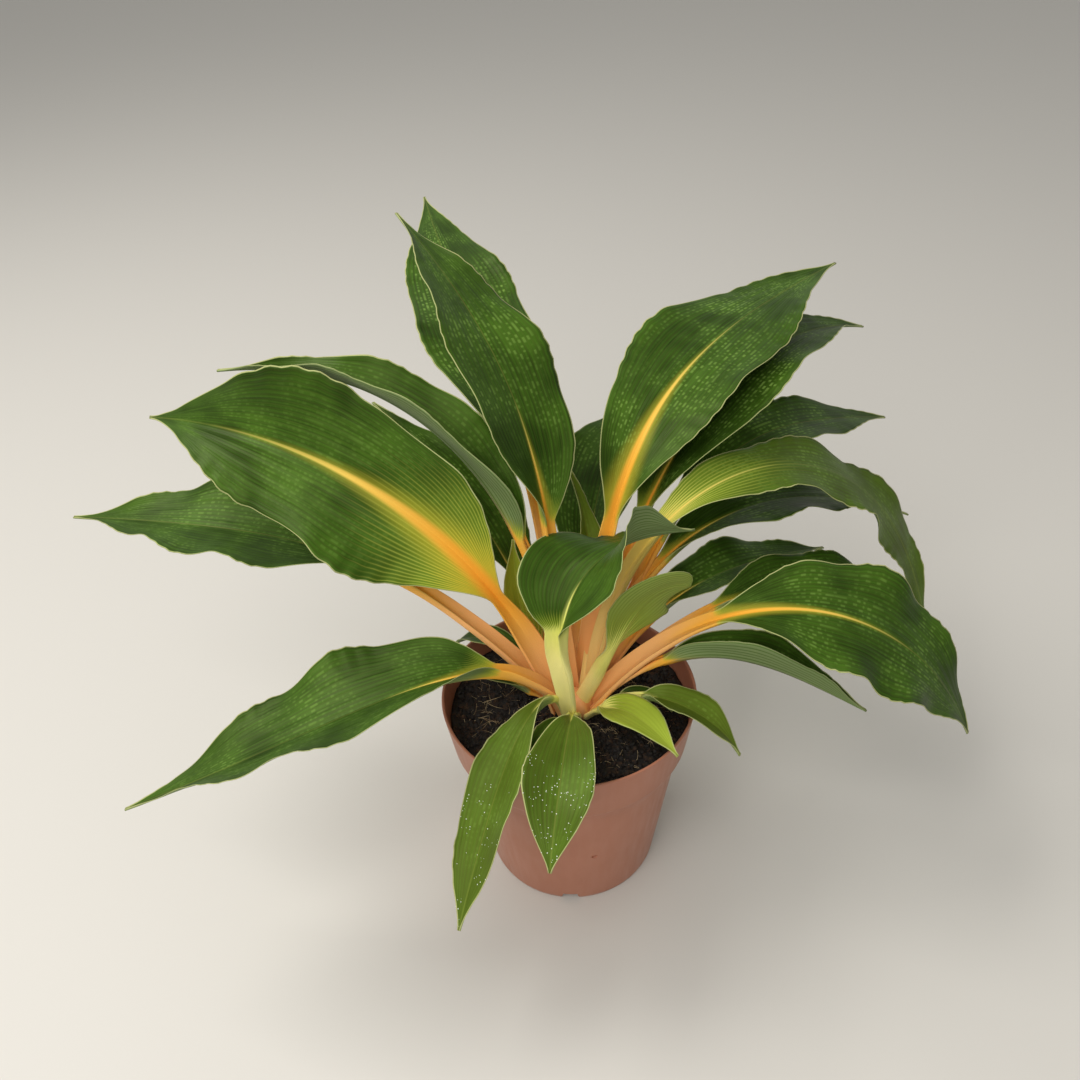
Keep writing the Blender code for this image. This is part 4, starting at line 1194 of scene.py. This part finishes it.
class PLANT_OT_stage(bpy.types.Operator):
    """Lay the pale floor, and set the soft lights and the camera"""
    bl_idname = "plant.stage"
    bl_label = "Stage"

    def execute(self, context):
        scene = context.scene
        looks = scene.plant_stage
        material, _, shader = new_material("matt_laminate", 0.55)
        shader.inputs["Base Color"].default_value = looks.floor
        floor = new_object("floor", FLOOR_CORNERS, [(0, 1, 2, 3)], material)
        aim_light("key", KEY_PLACE, KEY_SIZE, looks.key, KEY_COLOUR)
        aim_light("front", FRONT_PLACE, FRONT_SIZE, looks.front, FRONT_COLOUR)
        world = bpy.data.worlds.new("room")
        world.use_nodes = True
        background = world.node_tree.nodes["Background"]
        background.inputs["Color"].default_value = linear("f2f1ee")
        background.inputs["Strength"].default_value = looks.sky
        scene.world = world
        lens = bpy.data.cameras.new("camera")
        lens.lens = looks.lens
        lens.sensor_width = 36.0
        camera = bpy.data.objects.new("camera", lens)
        turn = (Matrix.Rotation(math.radians(CAMERA_YAW), 4, "Z")
                @ Matrix.Rotation(math.radians(90 + CAMERA_PITCH), 4, "X")
                @ Matrix.Rotation(math.radians(CAMERA_ROLL), 4, "Z"))
        camera.matrix_world = Matrix.Translation(CAMERA_PLACE) @ turn
        context.collection.objects.link(camera)
        scene.camera = camera
        scene.view_settings.view_transform = "Standard"
        return {"FINISHED"}


class PLANT_PT_panel(bpy.types.Panel):
    """The plant's pieces and settings"""
    bl_idname = "PLANT_PT_panel"
    bl_label = "Potted plant"
    bl_space_type = "VIEW_3D"
    bl_region_type = "UI"
    bl_category = "Plant"

    def draw(self, context):
        for group, names in PANEL_ROWS.items():
            settings = getattr(context.scene, group)
            box = self.layout.box()
            for name in settings.bl_rna.properties.keys():
                if name not in ("rna_type", "name"):
                    box.prop(settings, name)
            for name in names:
                box.operator("plant." + name)


PANEL_ROWS = {
    "plant_pot": ("pot",),
    "plant_peat": ("peat", "crumbs", "fibres"),
    "plant_leaf": ("crown", "leaves"),
    "plant_specks": ("specks",),
    "plant_stage": ("stage",),
}
SETTINGS = {"plant_pot": PotSettings, "plant_peat": PeatSettings, "plant_leaf": LeafSettings,
            "plant_specks": SpeckSettings, "plant_stage": StageSettings}
CLASSES = (PotSettings, PeatSettings, LeafSettings, SpeckSettings, StageSettings, PLANT_OT_pot,
           PLANT_OT_peat, PLANT_OT_crumbs, PLANT_OT_fibres, PLANT_OT_crown, PLANT_OT_leaves,
           PLANT_OT_specks, PLANT_OT_stage, PLANT_PT_panel)


def register():
    for kind in CLASSES:
        bpy.utils.register_class(kind)
    for name, kind in SETTINGS.items():
        setattr(bpy.types.Scene, name, PointerProperty(type=kind))


def unregister():
    for name in SETTINGS:
        delattr(bpy.types.Scene, name)
    for kind in reversed(CLASSES):
        bpy.utils.unregister_class(kind)


def main():
    register()
    bpy.ops.plant.stage()
    bpy.ops.plant.pot()
    bpy.ops.plant.peat()
    bpy.ops.plant.crumbs()
    bpy.ops.plant.fibres()
    bpy.ops.plant.crown()
    bpy.ops.plant.leaves()
    bpy.ops.plant.specks()
    bpy.context.view_layer.update()


if __name__ == "__main__":
    main()
